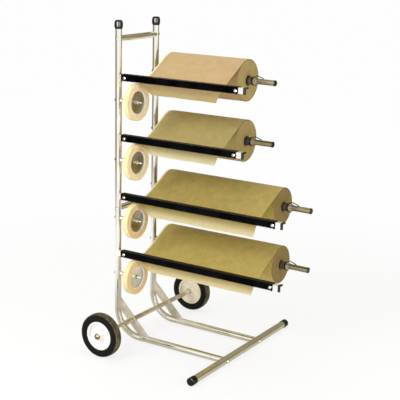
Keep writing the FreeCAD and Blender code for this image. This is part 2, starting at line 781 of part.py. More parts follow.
def paper_roll(unit):
    """Wound paper on a cardboard core that stands a little proud at both ends."""
    outer = f"dim.roll_radius_{unit}"
    length = f"place.roll_length_{unit}"
    body = turned(f"paper_roll_{unit}", "X", [
        ("-dim.core_proud", "dim.core_bore / 2"),
        ("-dim.core_proud", "place.roll_core_radius"),
        ("0", "place.roll_core_radius"),
        ("0", outer),
        (length, outer),
        (length, "place.roll_core_radius"),
        (f"{length} + dim.core_proud", "place.roll_core_radius"),
        (f"{length} + dim.core_proud", "dim.core_bore / 2"),
    ])
    return keep(put(body, "dim.roll_start", "dim.upright_gap", f"place.unit_height_{unit}"))


def core_bush(label):
    """A flanged plastic bush; zero is the face that meets the core's end."""
    bore = "place.shaft_radius + dim.running_gap"
    spigot = "dim.core_bore / 2 - dim.weld_gap"
    return turned(label, "X", [
        ("-dim.bush_flange", bore),
        ("-dim.bush_flange", "dim.bush_flange_radius - dim.edge_bevel"),
        ("-dim.bush_flange + dim.edge_bevel", "dim.bush_flange_radius"),
        ("0", "dim.bush_flange_radius"),
        ("0", spigot),
        ("dim.bush_length", spigot),
        ("dim.bush_length", bore),
    ])


def core_bushes(unit):
    left = core_bush(f"left_bush_{unit}")
    right = core_bush(f"right_bush_{unit}")
    height = f"place.unit_height_{unit}"
    put(left, "dim.roll_start - dim.core_proud", "dim.upright_gap", height)
    put(right, f"place.roll_end_{unit} + dim.core_proud", "dim.upright_gap", height, BACKWARDS)
    return group(f"core_bushes_{unit}", [left, right])


def drag_washer(unit):
    washer = plain_ring(f"drag_washer_{unit}", "X", "dim.drag_washer",
                        "place.shaft_radius + dim.cap_fit", "dim.drag_washer_radius")
    reach = f"place.roll_end_{unit} + place.collar_reach - dim.side_gap - dim.drag_washer"
    return put(washer, reach, "dim.upright_gap", f"place.unit_height_{unit}")


def stop_collar(unit):
    """A steel ring that backs the drag washer, drilled across for the hitch pin."""
    collar = plain_ring(f"stop_collar_{unit}", "X", "dim.collar_length",
                        "place.shaft_radius + dim.cap_fit", "dim.collar_radius")
    hole = [("dim.collar_length / 2", "0")]
    drill(collar, "XY_Plane", hole, "dim.hitch_wire / 2 + dim.weld_gap")
    return put(collar, f"place.roll_end_{unit} + place.collar_reach",
               "dim.upright_gap", f"place.unit_height_{unit}")


def hitch_pin(unit):
    """A bent rod: a leg that drops through collar and shaft, and an arm that slopes
    down along the shaft until its tip lies just above it."""
    body = new_body(f"hitch_pin_{unit}")
    spine = sketch_on(body, "XZ_Plane")
    leg = "2 * dim.collar_radius + dim.hitch_below + dim.hitch_lift"
    bend_x = "dim.hitch_bend * (1 + sin(dim.hitch_droop))"
    bend_z = f"{leg} + dim.hitch_bend * cos(dim.hitch_droop)"
    axis = "dim.collar_radius + dim.hitch_below"
    tip_z = f"{axis} + place.shaft_radius + dim.hitch_wire / 2 * cos(dim.hitch_droop) + dim.hitch_rest"
    trace(spine, [
        ("0", "0"),
        ("0", leg, "dim.hitch_bend", -1),
        (bend_x, bend_z),
        (f"{bend_x} + ({bend_z} - ({tip_z})) / tan(dim.hitch_droop)", tip_z),
    ], closed=False)
    wire = sketch_on(body, "XY_Plane")
    add_circle(wire, "0", "0", "dim.hitch_wire / 2")
    sweep(body, spine, wire)
    return put(body, f"place.roll_end_{unit} + place.collar_reach + dim.collar_length / 2",
               "dim.upright_gap", f"place.unit_height_{unit} - ({axis})")


def biarc(first, first_way, last, last_way):
    """Two arcs that join two points smoothly along the given directions."""
    reach = last - first
    ways = first_way + last_way
    spread = 2 * (1 - first_way.dot(last_way))
    pull = reach.dot(ways)
    handle = (math.sqrt(pull ** 2 + spread * reach.dot(reach)) - pull) / spread
    corners = (first + first_way * handle, last - last_way * handle)
    middle = (corners[0] + corners[1]) / 2
    return [arc_by_corner(first, corners[0], middle), arc_by_corner(middle, corners[1], last)]


def arc_by_corner(first, corner, last):
    """The arc that touches both lines from the corner at first and last."""
    base = (first + last) / 2
    half = (last - first).Length / 2
    side = (corner - first).Length
    sagitta = half * (side - half) / math.sqrt(side ** 2 - half ** 2)
    return Part.Arc(first, base + (corner - base).normalize() * sagitta, last).toShape()


def drag_spring(unit):
    """An open coil spring round the shaft, between the bush's flange and the washer."""
    radius = value("dim.spring_radius")
    wire = value("dim.spring_wire")
    pitch = value("place.spring_pitch")
    start = value(f"place.roll_end_{unit} + place.spring_start") + wire / 2
    centre = Vector(start, value("dim.upright_gap"), value(f"place.unit_height_{unit}"))

    def at(halves):
        angle = halves * math.pi
        return centre + Vector(pitch * halves / 2, radius * math.cos(angle), radius * math.sin(angle))

    def way(halves):
        angle = halves * math.pi
        slope = pitch / (2 * math.pi)
        return Vector(slope, -radius * math.sin(angle), radius * math.cos(angle)).normalize()

    steps = int(round(2 * value("dim.spring_turns")))
    edges = [Part.makeLine(at(0) - way(0) * wire, at(0))]
    for step in range(steps):
        edges += biarc(at(step), way(step), at(step + 1), way(step + 1))
    edges.append(Part.makeLine(at(steps), at(steps) + way(steps) * wire))
    path = Part.Wire(edges)
    section = Part.Wire(Part.makeCircle(wire / 2, at(0) - way(0) * wire, way(0)))
    coil = path.makePipeShell([section], True, False)
    print(f"drag_spring_{unit}: volume {coil.Volume:.1f} of"
          f" {math.pi * wire ** 2 / 4 * path.Length:.1f}, least gap {coil_gap(at, steps, wire):.2f} mm")
    return feature(f"drag_spring_{unit}", coil)


def coil_gap(at, steps, wire):
    """The least gap between turns, measured on points along the middle line."""
    per_half = 12
    spots = [at(index / per_half) for index in range(steps * per_half + 1)]
    gaps = []
    for index, spot in enumerate(spots):
        for other in spots[index + per_half:]:
            gaps.append((spot - other).Length)
    return min(gaps) - wire


def tape_roll(unit):
    """Wound tape on a cardboard core that is a little narrower than the tape."""
    core_outside = "place.tape_core_radius + dim.tape_core_wall"
    body = turned(f"tape_roll_{unit}", "X", [
        ("dim.tape_core_short", "place.tape_core_radius"),
        ("dim.tape_core_short", core_outside),
        ("0", core_outside),
        ("0", "dim.tape_radius - dim.tape_edge"),
        ("dim.tape_edge", "dim.tape_radius"),
        ("dim.tape_width - dim.tape_edge", "dim.tape_radius"),
        ("dim.tape_width", "dim.tape_radius - dim.tape_edge"),
        ("dim.tape_width", core_outside),
        ("dim.tape_width - dim.tape_core_short", core_outside),
        ("dim.tape_width - dim.tape_core_short", "place.tape_core_radius"),
    ])
    return keep(put(body, "dim.tape_start", "0", f"place.tape_height_{unit}"))


def tape_hub(unit):
    """A dished hub that fills the core: rim, thin disc and boss on the spindle."""
    bore = "dim.spindle_radius + dim.running_gap"
    rim = "place.tape_core_radius - dim.hub_fit"
    rim_inside = f"{rim} - dim.tape_rim_wall"
    first = "dim.tape_rim_inset"
    last = "dim.tape_width - dim.tape_rim_inset"
    disc_front = "dim.tape_width - dim.tape_disc_recess"
    disc_back = f"{disc_front} - dim.tape_disc"
    body = turned(f"tape_hub_{unit}", "X", [
        (first, rim),
        (last, rim),
        (last, rim_inside),
        (disc_front, f"{rim_inside} - dim.tape_hub_draft"),
        (disc_front, "dim.tape_boss_radius + dim.tape_hub_draft"),
        ("dim.tape_width + dim.tape_boss_proud", "dim.tape_boss_radius"),
        ("dim.tape_width + dim.tape_boss_proud", bore),
        ("0", bore),
        ("0", "dim.tape_boss_radius"),
        (disc_back, "dim.tape_boss_radius + dim.tape_hub_draft"),
        (disc_back, f"{rim_inside} - dim.tape_hub_draft"),
        (first, rim_inside),
    ])
    return keep(put(body, "dim.tape_start", "0", f"place.tape_height_{unit}"))


def tape_spindles():
    """A shouldered stud for each tape hub, held by a bolt through the near upright."""
    studs = []
    bolts = []
    root = "place.tube_radius + dim.weld_gap"
    shoulder = "dim.tape_start - dim.side_gap"
    for unit in UNITS:
        height = f"place.tape_height_{unit}"
        stud = turned(f"tape_stud_{unit}", "X", [
            (root, "dim.bolt_radius + dim.weld_gap"),
            (root, "dim.spindle_shoulder_radius"),
            (shoulder, "dim.spindle_shoulder_radius"),
            (shoulder, "dim.spindle_radius"),
            ("dim.spindle_end - dim.edge_bevel", "dim.spindle_radius"),
            ("dim.spindle_end", "dim.spindle_radius - dim.edge_bevel"),
            ("dim.spindle_end", "0"),
            (f"{root} + dim.spindle_thread + dim.spindle_thread_end", "0"),
            (f"{root} + dim.spindle_thread + dim.spindle_thread_end", "dim.bolt_radius + dim.weld_gap"),
        ])
        studs.append(put(stud, "0", "0", height))
        bolt = turned(f"tape_bolt_{unit}", "X", bolt_points(
            "dim.bolt_head_radius", "dim.bolt_head_height", "dim.head_round",
            f"2 * ({root}) + dim.spindle_thread", "dim.bolt_radius"))
        bolts.append(put(bolt, f"-({root})", "0", height))
    group("tape_spindles", studs)
    return group("spindle_bolts", bolts)


def angle_points(front, top, deep, tall, thick):
    """The section of an angle: its front flange hangs from the front of its top one."""
    return [
        (front, top),
        (f"{front} + {deep}", top),
        (f"{front} + {deep}", f"{top} - ({thick})"),
        (f"{front} + {thick}", f"{top} - ({thick})"),
        (f"{front} + {thick}", f"{top} - ({tall})"),
        (front, f"{top} - ({tall})"),
    ]


def screw_spots(unit):
    return [
        ("dim.blade_start + dim.screw_left_inset", "place.screw_height"),
        (f"place.blade_end_{unit} - dim.screw_right_inset", "place.screw_height"),
    ]


def cutter_bar(unit):
    """The angle of a cutter bar, coped to the near upright, with a rounded rear corner."""
    body = new_body(f"cutter_bar_{unit}")
    section = sketch_on(body, "YZ_Plane")
    trace(section, angle_points("-place.tube_radius", "dim.bar_rise", "dim.bar_depth",
                                "dim.bar_height", "dim.bar_thick"))
    blank = pad(body, section, f"place.bar_end_{unit}")
    doc.recompute()
    rear = value("dim.bar_depth - place.tube_radius")
    near_end = Vector(0, rear, value("dim.bar_rise - dim.bar_thick / 2"))
    corner = body.newObject("PartDesign::Fillet", f"{body.Label}_corner")
    corner.Base = (blank, [edge_near(blank.Shape, near_end)])
    corner.setExpression("Radius", "dim.bar_corner + dim.bar_start")
    end = sketch_on(body, "XZ_Plane")
    trace(end, [
        ("-dim.bar_start", "-dim.bar_height"),
        ("dim.bar_start", "-dim.bar_height"),
        ("dim.bar_start", "dim.bar_height"),
        ("-dim.bar_start", "dim.bar_height"),
    ])
    cut_through(body, end)
    drill(body, "XY_Plane", [("0", "0")], "place.tube_radius + dim.weld_gap")
    drill(body, "XZ_Plane", screw_spots(unit), "dim.screw_radius + dim.screw_play")
    return keep(put(body, "0", "0", f"place.unit_height_{unit}"))


def cutter_blade(unit):
    """A blade folded over the front and top of the bar. One notch is cut into its lower
    edge and repeated, which leaves a row of pointed teeth."""
    body = new_body(f"cutter_blade_{unit}")
    end = f"place.blade_end_{unit}"
    seat = "dim.bar_rise + dim.weld_gap"
    high = f"{seat} + dim.blade_thick"
    low = f"{high} - dim.blade_height"
    plate = sketch_on(body, "XZ_Plane")
    trace(plate, [("dim.blade_start", low), (end, low), (end, high), ("dim.blade_start", high)])
    pad(body, plate, "dim.blade_thick")
    top = sketch_on(body, "XZ_Plane")
    trace(top, [("dim.blade_start", seat), (end, seat), (end, high), ("dim.blade_start", high)])
    pad(body, top, "dim.bar_depth + dim.weld_gap", reverse=True)
    drill(body, "XZ_Plane", screw_spots(unit), "dim.screw_radius + dim.screw_play")
    notch = sketch_on(body, "XZ_Plane")
    first = "dim.blade_start + dim.tooth_pitch"
    trace(notch, [
        (f"{first} - dim.tooth_pitch / 2", f"{low} - dim.notch_overrun"),
        (f"{first} + dim.tooth_pitch / 2", f"{low} - dim.notch_overrun"),
        (first, f"{low} + dim.tooth_depth"),
    ])
    tooth = cut_through(body, notch)
    row = body.newObject("PartDesign::LinearPattern", f"{body.Label}_teeth")
    row.Originals = [tooth]
    row.Direction = (notch, ["H_Axis"])
    row.Mode = "Spacing"
    row.setExpression("Offset", "dim.tooth_pitch")
    row.setExpression("Occurrences", f"floor(({end} - dim.blade_start) / dim.tooth_pitch) - 1")
    body.Tip = row
    return keep(put(body, "0", "-place.tube_radius - dim.weld_gap", f"place.unit_height_{unit}"))


def blade_screws(unit):
    """Two domed screws through the blade into the angle."""
    pieces = []
    reach = "dim.blade_thick + 2 * dim.weld_gap + dim.bar_thick + dim.screw_tail"
    for name, (along, rise) in zip(("left", "right"), screw_spots(unit)):
        screw = turned(f"{name}_screw_{unit}", "Y", bolt_points(
            "dim.screw_head_radius", "dim.screw_head_height", "dim.screw_head_round",
            reach, "dim.screw_radius"))
        front = "-place.tube_radius - 2 * dim.weld_gap - dim.blade_thick"
        pieces.append(put(screw, along, front, f"place.unit_height_{unit} + {rise}"))
    return pieces


def bar_cap(unit):
    """A soft plastic sock over the end of the angle."""
    body = new_body(f"bar_cap_{unit}")
    skin = "(dim.cap_fit + dim.bar_cap_wall)"
    outside = sketch_on(body, "YZ_Plane")
    trace(outside, angle_points(
        f"-place.tube_radius - {skin}", f"dim.bar_rise + {skin}", f"dim.bar_depth + 2 * {skin}",
        f"dim.bar_height + 2 * {skin}", f"dim.bar_thick + 2 * {skin}"))
    pad(body, outside, "dim.bar_cap_length", reverse=True)
    inside = sketch_on(body, "YZ_Plane")
    trace(inside, angle_points(
        "-place.tube_radius - dim.cap_fit", "dim.bar_rise + dim.cap_fit", "dim.bar_depth + 2 * dim.cap_fit",
        "dim.bar_height + 2 * dim.cap_fit", "dim.bar_thick + 2 * dim.cap_fit"))
    inside.AttachmentOffset = FreeCAD.Placement(Vector(0, 0, -value("dim.bar_cap_wall")), Rotation())
    inside.setExpression(".AttachmentOffset.Base.z", "-dim.bar_cap_wall")
    cut_through(body, inside, both_ways=False)
    end = f"place.bar_end_{unit} + dim.cap_fit + dim.bar_cap_wall"
    return put(body, end, "0", f"place.unit_height_{unit}")


def offset_path(points, rounds, aside):
    """Edges along a line of points with rounded corners, moved aside by a distance to
    the left of travel. Returned as (start, end, middle or None) in Y and Z."""
    pieces = []
    ways = [(after - spot).normalize() for spot, after in zip(points, points[1:])]
    start = points[0]
    for index in range(1, len(points) - 1):
        before, after = ways[index - 1], ways[index]
        cross = before.y * after.z - before.z * after.y
        turn = math.atan2(abs(cross), before.dot(after))
        cut = rounds[index - 1] * math.tan(turn / 2)
        sign = 1 if cross > 0 else -1
        first = points[index] - before * cut
        last = points[index] + after * cut
        centre = first + left_of(before) * rounds[index - 1] * sign
        middle = points[index] - centre
        middle = centre + middle.normalize() * (rounds[index - 1] - sign * aside)
        pieces.append((start + left_of(before) * aside, first + left_of(before) * aside, None))
        pieces.append((first + left_of(before) * aside, last + left_of(after) * aside, middle))
        start = last
    pieces.append((start + left_of(ways[-1]) * aside, points[-1] + left_of(ways[-1]) * aside, None))
    return pieces


def left_of(way):
    return Vector(0, -way.z, way.y)


def web_section(along, points, rounds):
    """One closed cross-section of the sheet at a place along X."""
    half = value("dim.web_thick") / 2
    shift = Vector(along, 0, 0)
    upper = offset_path(points, rounds, -half)
    lower = offset_path(points, rounds, half)
    edges = [path_edge(piece, shift) for piece in upper]
    edges.append(Part.makeLine(upper[-1][1] + shift, lower[-1][1] + shift))
    for start, end, middle in reversed(lower):
        edges.append(path_edge((end, start, middle), shift))
    edges.append(Part.makeLine(lower[0][0] + shift, upper[0][0] + shift))
    return Part.Wire(edges)


def path_edge(piece, shift):
    start, end, middle = piece
    if middle is None:
        return Part.makeLine(start + shift, end + shift)
    return Part.Arc(start + shift, middle + shift, end + shift).toShape()


def paper_web(unit):
    """The sheet drawn off a roll: it leaves the top of the roll, runs down to the bar,
    lies on the tape at its left edge and hangs as a lip along the rest."""
    high = value(f"place.unit_height_{unit}")
    gap = value("dim.upright_gap")
    wrap = value(f"dim.roll_radius_{unit} + dim.web_gap + dim.web_thick / 2")
    fold = Vector(0, value("dim.rear_fold_y"), high + value("dim.rear_fold_rise"))
    away = fold - Vector(0, gap, high)
    lean = math.atan2(away.z, away.y) - math.acos(wrap / away.Length)
    slope = lean - math.pi / 2
    top = Vector(0, gap, high + wrap)
    corner = top + Vector(0, -wrap * math.tan(slope / 2), 0)
    start = top + Vector(0, value("dim.web_lead"), 0)

    lip = [start, corner, fold,
           Vector(0, value("dim.lip_fold_y"), high - value("dim.lip_fold_drop")),
           Vector(0, value("dim.lip_end_y"), high - value(f"dim.lip_drop_{unit}"))]
    lip_rounds = [wrap, value("dim.rear_fold_round"), value("dim.lip_fold_round")]

    tape_high = value(f"place.tape_height_{unit}")
    reach = value("dim.tape_radius + dim.web_gap + dim.web_thick / 2")
    touch = value("(dim.tape_contact_y - dim.tape_edge_y) / 2")
    lie = math.asin(touch / reach)

    def over_tape(y):
        return Vector(0, y, tape_high + (reach - y * math.sin(lie)) / math.cos(lie))

    edge = [start, corner, fold, over_tape(value("dim.tape_contact_y")), over_tape(-value("dim.tape_edge_y"))]
    edge_rounds = [wrap, value("dim.rear_fold_round"), value("dim.tape_contact_round")]

    stations = (
        (value("dim.roll_start"), edge, edge_rounds),
        (value("dim.tape_side_end"), edge, edge_rounds),
        (value("dim.full_lip_start"), lip, lip_rounds),
        (value(f"place.roll_end_{unit}"), lip, lip_rounds),
    )
    sections = [web_section(*station) for station in stations]
    sheet = Part.makeLoft(sections, True, True)
    length = sum(piece_length(piece) for piece in offset_path(lip, lip_rounds, 0))
    print(f"paper_web_{unit}: {value(f'place.roll_length_{unit}'):.1f} wide, {length:.1f} long,"
          f" volume {sheet.Volume:.0f}, valid {sheet.isValid()}")
    return keep(feature(f"paper_web_{unit}", sheet))


def piece_length(piece):
    return path_edge(piece, Vector(0, 0, 0)).Length


unit_heights = [f"place.unit_height_{unit}" for unit in UNITS]
tape_heights = [f"place.tape_height_{unit}" for unit in UNITS]
frame_tube("near_frame_tube", "0", tape_heights)
frame_tube("far_frame_tube", "dim.upright_gap", unit_heights)
crossbar("top_crossbar", "place.top_bar_height")
crossbar("middle_crossbar", "dim.middle_bar_height")
crossbar_bolts()
cross_foot()
foot_caps()
near_cap = upright_cap("near_upright_cap", "0")
far_cap = upright_cap("far_upright_cap", "dim.upright_gap")
group("upright_caps", [near_cap, far_cap])
leg_fastening()
brace("near_brace", "0")
brace("far_brace", "dim.upright_gap")
axle()
wheel("near", "-dim.near_wheel_y")
wheel("far", "dim.far_wheel_y")
group("paper_shafts", [paper_shaft(unit) for unit in UNITS])
shaft_fastening()
group("shaft_end_caps", [shaft_cap(unit) for unit in UNITS])
group("drag_washers", [drag_washer(unit) for unit in UNITS])
group("stop_collars", [stop_collar(unit) for unit in UNITS])
group("drag_springs", [drag_spring(unit) for unit in UNITS])
group("hitch_pins", [hitch_pin(unit) for unit in UNITS])
tape_spindles()
for unit in UNITS:
    paper_roll(unit)
    core_bushes(unit)
    tape_roll(unit)
    tape_hub(unit)
    cutter_bar(unit)
    cutter_blade(unit)
    paper_web(unit)
group("blade_screws", [screw for unit in UNITS for screw in blade_screws(unit)])
group("bar_end_caps", [bar_cap(unit) for unit in UNITS])
doc.recompute()

for item in doc.Objects:
    if "Invalid" in item.State or "Error" in item.State:
        raise RuntimeError(f"{item.Label} failed: {item.State}")
for item in nodes:
    if item.Shape.isNull() or not item.Shape.isValid():
        raise RuntimeError(f"{item.Label} has no valid shape")
os.makedirs("parts", exist_ok=True)
for item in nodes:
    item.Shape.exportStep(f"parts/{item.Label}.step")
print(f"{len(nodes)} nodes, {sum(len(item.Shape.Solids) for item in nodes)} solids")
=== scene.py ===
import math
import random
import bmesh
import bpy
from mathutils import Matrix, Vector, noise


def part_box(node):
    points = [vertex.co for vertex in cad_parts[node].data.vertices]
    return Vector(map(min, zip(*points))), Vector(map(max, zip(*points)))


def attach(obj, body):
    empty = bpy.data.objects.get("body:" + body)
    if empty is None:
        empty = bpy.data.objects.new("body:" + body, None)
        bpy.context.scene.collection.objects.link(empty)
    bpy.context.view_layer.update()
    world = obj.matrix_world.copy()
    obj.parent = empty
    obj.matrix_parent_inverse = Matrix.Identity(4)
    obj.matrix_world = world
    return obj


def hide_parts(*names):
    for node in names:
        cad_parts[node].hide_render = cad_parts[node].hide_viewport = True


# A wheeled stand that carries four rolls of masking paper and four rolls of tape.
# Sizes are in millimetres and are turned to metres with MM. Places come from the frame.
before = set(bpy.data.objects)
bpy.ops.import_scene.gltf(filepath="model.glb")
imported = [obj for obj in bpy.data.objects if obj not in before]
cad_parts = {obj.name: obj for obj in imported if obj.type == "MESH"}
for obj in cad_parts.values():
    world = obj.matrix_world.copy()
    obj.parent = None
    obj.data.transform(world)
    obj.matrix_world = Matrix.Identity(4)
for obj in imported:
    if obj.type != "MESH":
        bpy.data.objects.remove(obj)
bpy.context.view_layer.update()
MM = 0.001

# Frame tubes, crossbars and foot: steel tube, cut, bent cold, bright zinc plated and bolted up.
# The plating is nearly a mirror, a little warm, with faint cloudy patches from the bath.
CLOUD = 14 * MM
STAIN = 45 * MM


def linear(colour):
    """The linear colour of an sRGB hex value."""
    parts = [int(colour[at:at + 2], 16) / 255 for at in (1, 3, 5)]
    return (*[part / 12.92 if part <= 0.04045 else ((part + 0.055) / 1.055) ** 2.4
              for part in parts], 1)


def add(tree, kind, inputs=(), stops=(), **settings):
    """Adds a node. An input is given by its name or number, as a value or as another node's
    output. The stops of a colour ramp are places and hex colours."""
    node = tree.nodes.new(kind)
    for name, value in settings.items():
        setattr(node, name, value)
    for name, value in dict(inputs).items():
        if isinstance(value, bpy.types.NodeSocket):
            tree.links.new(value, node.inputs[name])
        else:
            node.inputs[name].default_value = value
    for number, (place, colour) in enumerate(stops):
        node.color_ramp.elements[number].position = place
        node.color_ramp.elements[number].color = linear(colour)
    return node


def new_finish(name, **sockets):
    """A material, its node tree and its shader, with the shader's constants set."""
    finish = bpy.data.materials.new(name)
    finish.use_nodes = True
    shader = finish.node_tree.nodes["Principled BSDF"]
    for socket, value in sockets.items():
        shader.inputs[socket.replace("_", " ")].default_value = value
    return finish, finish.node_tree, shader


def plated(name, light, dull, smooth, rough, grain=CLOUD, metallic=1.0):
    """Plated or bare steel, whose tone and gloss drift over patches of a real size."""
    finish, tree, shader = new_finish(name, Metallic=metallic)
    spot = add(tree, "ShaderNodeTexCoord").outputs["Object"]
    patches = add(tree, "ShaderNodeTexNoise", {"Vector": spot, "Scale": 1 / grain, "Detail": 4.0})
    stains = add(tree, "ShaderNodeTexNoise", {"Vector": spot, "Scale": 1 / STAIN, "Detail": 2.0})
    tone = add(tree, "ShaderNodeValToRGB", {"Fac": stains.outputs["Fac"]},
               [(0.35, dull), (0.65, light)])
    gloss = add(tree, "ShaderNodeMapRange", {"Value": patches.outputs["Fac"], "From Min": 0.3,
                                             "From Max": 0.7, "To Min": smooth, "To Max": rough})
    relief = add(tree, "ShaderNodeBump", {"Height": patches.outputs["Fac"], "Strength": 0.02,
                                          "Distance": 0.1 * MM})
    tree.links.new(tone.outputs["Color"], shader.inputs["Base Color"])
    tree.links.new(gloss.outputs["Result"], shader.inputs["Roughness"])
    tree.links.new(relief.outputs["Normal"], shader.inputs["Normal"])
    return finish


def dress(finish, *names):
    """Gives nodes of the frame their finish."""
    for name in names:
        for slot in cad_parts[name].material_slots:
            slot.material = finish


zinc = plated("bright_zinc_plate", "#FFFEFA", "#F6F3EA", 0.07, 0.16)
dress(zinc, "near_frame_tube", "far_frame_tube", "top_crossbar", "middle_crossbar", "cross_foot")

# Paper shafts: thinner tube, coped and bolted to the far upright. Their plating is painted a
# dull olive, a painted reflection of the olive surroundings.
shaft_plate_painted_reflection = plated("olive_shaft_plate_painted_reflection", "#BDB69C", "#9A9378", 0.12, 0.22)
dress(shaft_plate_painted_reflection, "paper_shafts")

# Braces: the same tube as the frame pressed flat, welded between upright and leg, drilled for
# the axle. Welding leaves the plating dull, with a pale bloom on it, so it is part metal only.
dull_zinc = plated("dull_zinc_plate", "#E6DFD0", "#C2B8A4", 0.24, 0.40, metallic=0.4)
dress(dull_zinc, "near_brace", "far_brace")

# Bolts, nuts and threaded plugs: turned and headed steel, nickel plated after the thread.
# They shine evenly, a little greyer than the zinc.
nickel = plated("nickel_plate", "#E4E2DC", "#CFCCC4", 0.08, 0.18, 3 * MM)
dress(nickel, "crossbar_bolts", "foot_bolts", "leg_plugs", "shaft_plugs", "shaft_bolts",
      "spindle_bolts", "blade_screws", "stop_collars", "wheel_washers")

# Caps on the uprights, and washers at the springs' ends: moulded black rubber. The caps are
# pushed over the tube, and handling has made the rubber shiny.
GRAIN = 0.9 * MM
WEAR_SPREAD = 12


def moulded(name, dark, worn, roughness, grain=GRAIN, depth=0.05 * MM, **sockets):
    """A moulded or painted skin: a fine even grain, and patches of wear many grains across."""
    finish, tree, shader = new_finish(name, Roughness=roughness, **sockets)
    spot = add(tree, "ShaderNodeTexCoord").outputs["Object"]
    skin = add(tree, "ShaderNodeTexNoise", {"Vector": spot, "Scale": 1 / grain, "Detail": 3.0})
    wear = add(tree, "ShaderNodeTexNoise", {"Vector": spot, "Scale": 1 / (WEAR_SPREAD * grain),
                                            "Detail": 5.0})
    tone = add(tree, "ShaderNodeValToRGB", {"Fac": wear.outputs["Fac"]},
               [(0.45, dark), (0.75, worn)])
    relief = add(tree, "ShaderNodeBump", {"Height": skin.outputs["Fac"], "Strength": 0.3,
                                          "Distance": depth})
    tree.links.new(tone.outputs["Color"], shader.inputs["Base Color"])
    tree.links.new(relief.outputs["Normal"], shader.inputs["Normal"])
    return finish


cap_rubber = moulded("moulded_black_rubber", "#060605", "#12110F", 0.12, Specular_IOR_Level=0.5)
dress(cap_rubber, "upright_caps", "drag_washers")

# Caps on the foot, the shafts and the bars: soft black PVC, moulded thin and pushed on warm
# over the cut ends. They are slightly glossy.
cap_vinyl = moulded("black_vinyl_cap", "#070706", "#14130F", 0.26, Specular_IOR_Level=0.35)
dress(cap_vinyl, "foot_caps", "shaft_end_caps", "bar_end_caps")

# Axle: a drawn half-inch rod with cut lengths of tube on it, left as drawn. That gives it a
# pale satin shine.
drawn_steel = plated("drawn_steel", "#FFF8E6", "#DCD2B8", 0.36, 0.50, 6 * MM)
dress(drawn_steel, "axle_rod", "axle_sleeves")

# Push caps on the axle: domed, pressed from thin sheet and driven onto the ends of the rod.
# They are yellow passivated, so they look like brass.
brass = plated("yellow_passivated_steel", "#C4B07C", "#7E6C44", 0.12, 0.22, 5 * MM)
dress(brass, "axle_caps")

# Tyres: solid moulded rubber with a rounded side, a step at the shoulder and three tread
# grooves. The sides are matt black, and the tread is painted a paler brown as painted light.
TYRE_STEPS = 144
TYRE_BORE = 50
SIDE_FACE = 15
SIDE_BULGE = 4.2
SIDE_ARC = 14
SIDE_STEP = 1.75
TREAD_STARTS = 72.5
PEBBLE = 1.6 * MM
PEBBLE_DEPTH = 0.12 * MM
ALONG_Y = Vector((0, 1, 0))


def piece(name, shape, body, finishes, sharp=35):
    """A finished mesh, smooth except at its sharp edges, riding on a body of the frame."""
    bmesh.ops.remove_doubles(shape, verts=shape.verts, dist=0.001 * MM)
    mesh = bpy.data.meshes.new(name)
    shape.to_mesh(mesh)
    shape.free()
    made = bpy.data.objects.new(name, mesh)
    bpy.context.scene.collection.objects.link(made)
    for finish in finishes:
        mesh.materials.append(finish)
    mesh.shade_smooth()
    mesh.set_sharp_from_angle(angle=math.radians(sharp))
    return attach(made, body)


def spun(axis, centre, outline, steps):
    """A shape turned about an axis, from a closed outline of (along, radius) in mm."""
    shape = bmesh.new()
    spots = [shape.verts.new(centre + axis * along * MM + Vector((0, 0, radius * MM)))
             for along, radius in outline]
    edges = [shape.edges.new((spots[index - 1], spots[index])) for index in range(len(spots))]
    bmesh.ops.spin(shape, geom=spots + edges, cent=centre, axis=axis, dvec=(0, 0, 0),
                   angle=math.tau, steps=steps, use_merge=True)
    bmesh.ops.recalc_face_normals(shape, faces=shape.faces)
    return shape


def middle(node):
    """The middle of a node's box."""
    low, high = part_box(node)
    return (low + high) / 2


tyre_side = [(-SIDE_FACE - SIDE_BULGE * math.sin(step * math.pi / SIDE_ARC),
              TYRE_BORE + step * SIDE_STEP) for step in range(SIDE_ARC - 1)]
tyre_shoulder = [(-15.2, 71.6), (-14.2, 72.6), (-13.6, 72.4), (-13.2, 74.4)]
tyre_tread = [(-9.6, 75.3), (-9.2, 73.6), (-7.4, 73.6), (-7.0, 75.7), (-1.2, 76.1), (-0.9, 74.2)]
tyre_half = tyre_side + tyre_shoulder + tyre_tread
tyre_outline = tyre_half + [(-along, radius) for along, radius in reversed(tyre_half)]
tyre_rubber = moulded("tyre_rubber", "#080907", "#141510", 0.60, PEBBLE, PEBBLE_DEPTH,
                      Specular_IOR_Level=0.25)
# Painted light: the tread's faces take a paler brown than the sides, where the tread is lit.
tread_painted_light = moulded("tread_rubber_painted_light", "#544C3A", "#8A7F62", 0.70, PEBBLE, PEBBLE_DEPTH,
                      Specular_IOR_Level=0.2)
for side in ("near", "far"):
    centre = middle(f"{side}_wheel_tyre")
    shape = spun(ALONG_Y, centre, tyre_outline, TYRE_STEPS)
    for face in shape.faces:
        if (face.calc_center_median() - centre).xz.length > TREAD_STARTS * MM:
            face.material_index = 1
    tyre = piece(f"{side}_wheel_rubber", shape, f"{side}_wheel", [tyre_rubber, tread_painted_light],
                 sharp=28)
    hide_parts(f"{side}_wheel_tyre")

# Wheel hubs: two pressed steel dishes round a turned sleeve, with rolled rims that grip the
# tyre. They are enamelled a smooth glossy white. The far one is painted cream instead, a
# painted reflection of the warm parts beside it.
# The same enamel, on the tape hubs' walls and bosses, is a painted highlight.
white_enamel_and_painted_highlight = moulded("white_enamel", "#FBFAF8", "#F4F2EE", 0.28, 2.5 * MM, 0.02 * MM)
# Painted reflection: the far hub's cream tone stands in for the warm parts that it mirrors.
far_hub_enamel_painted_reflection = moulded("white_enamel_painted_warm_reflection", "#FFF8E6", "#E9D8C0", 0.30, 2.5 * MM, 0.02 * MM)
dress(white_enamel_and_painted_highlight, "near_wheel_hub")
dress(far_hub_enamel_painted_reflection, "far_wheel_hub")

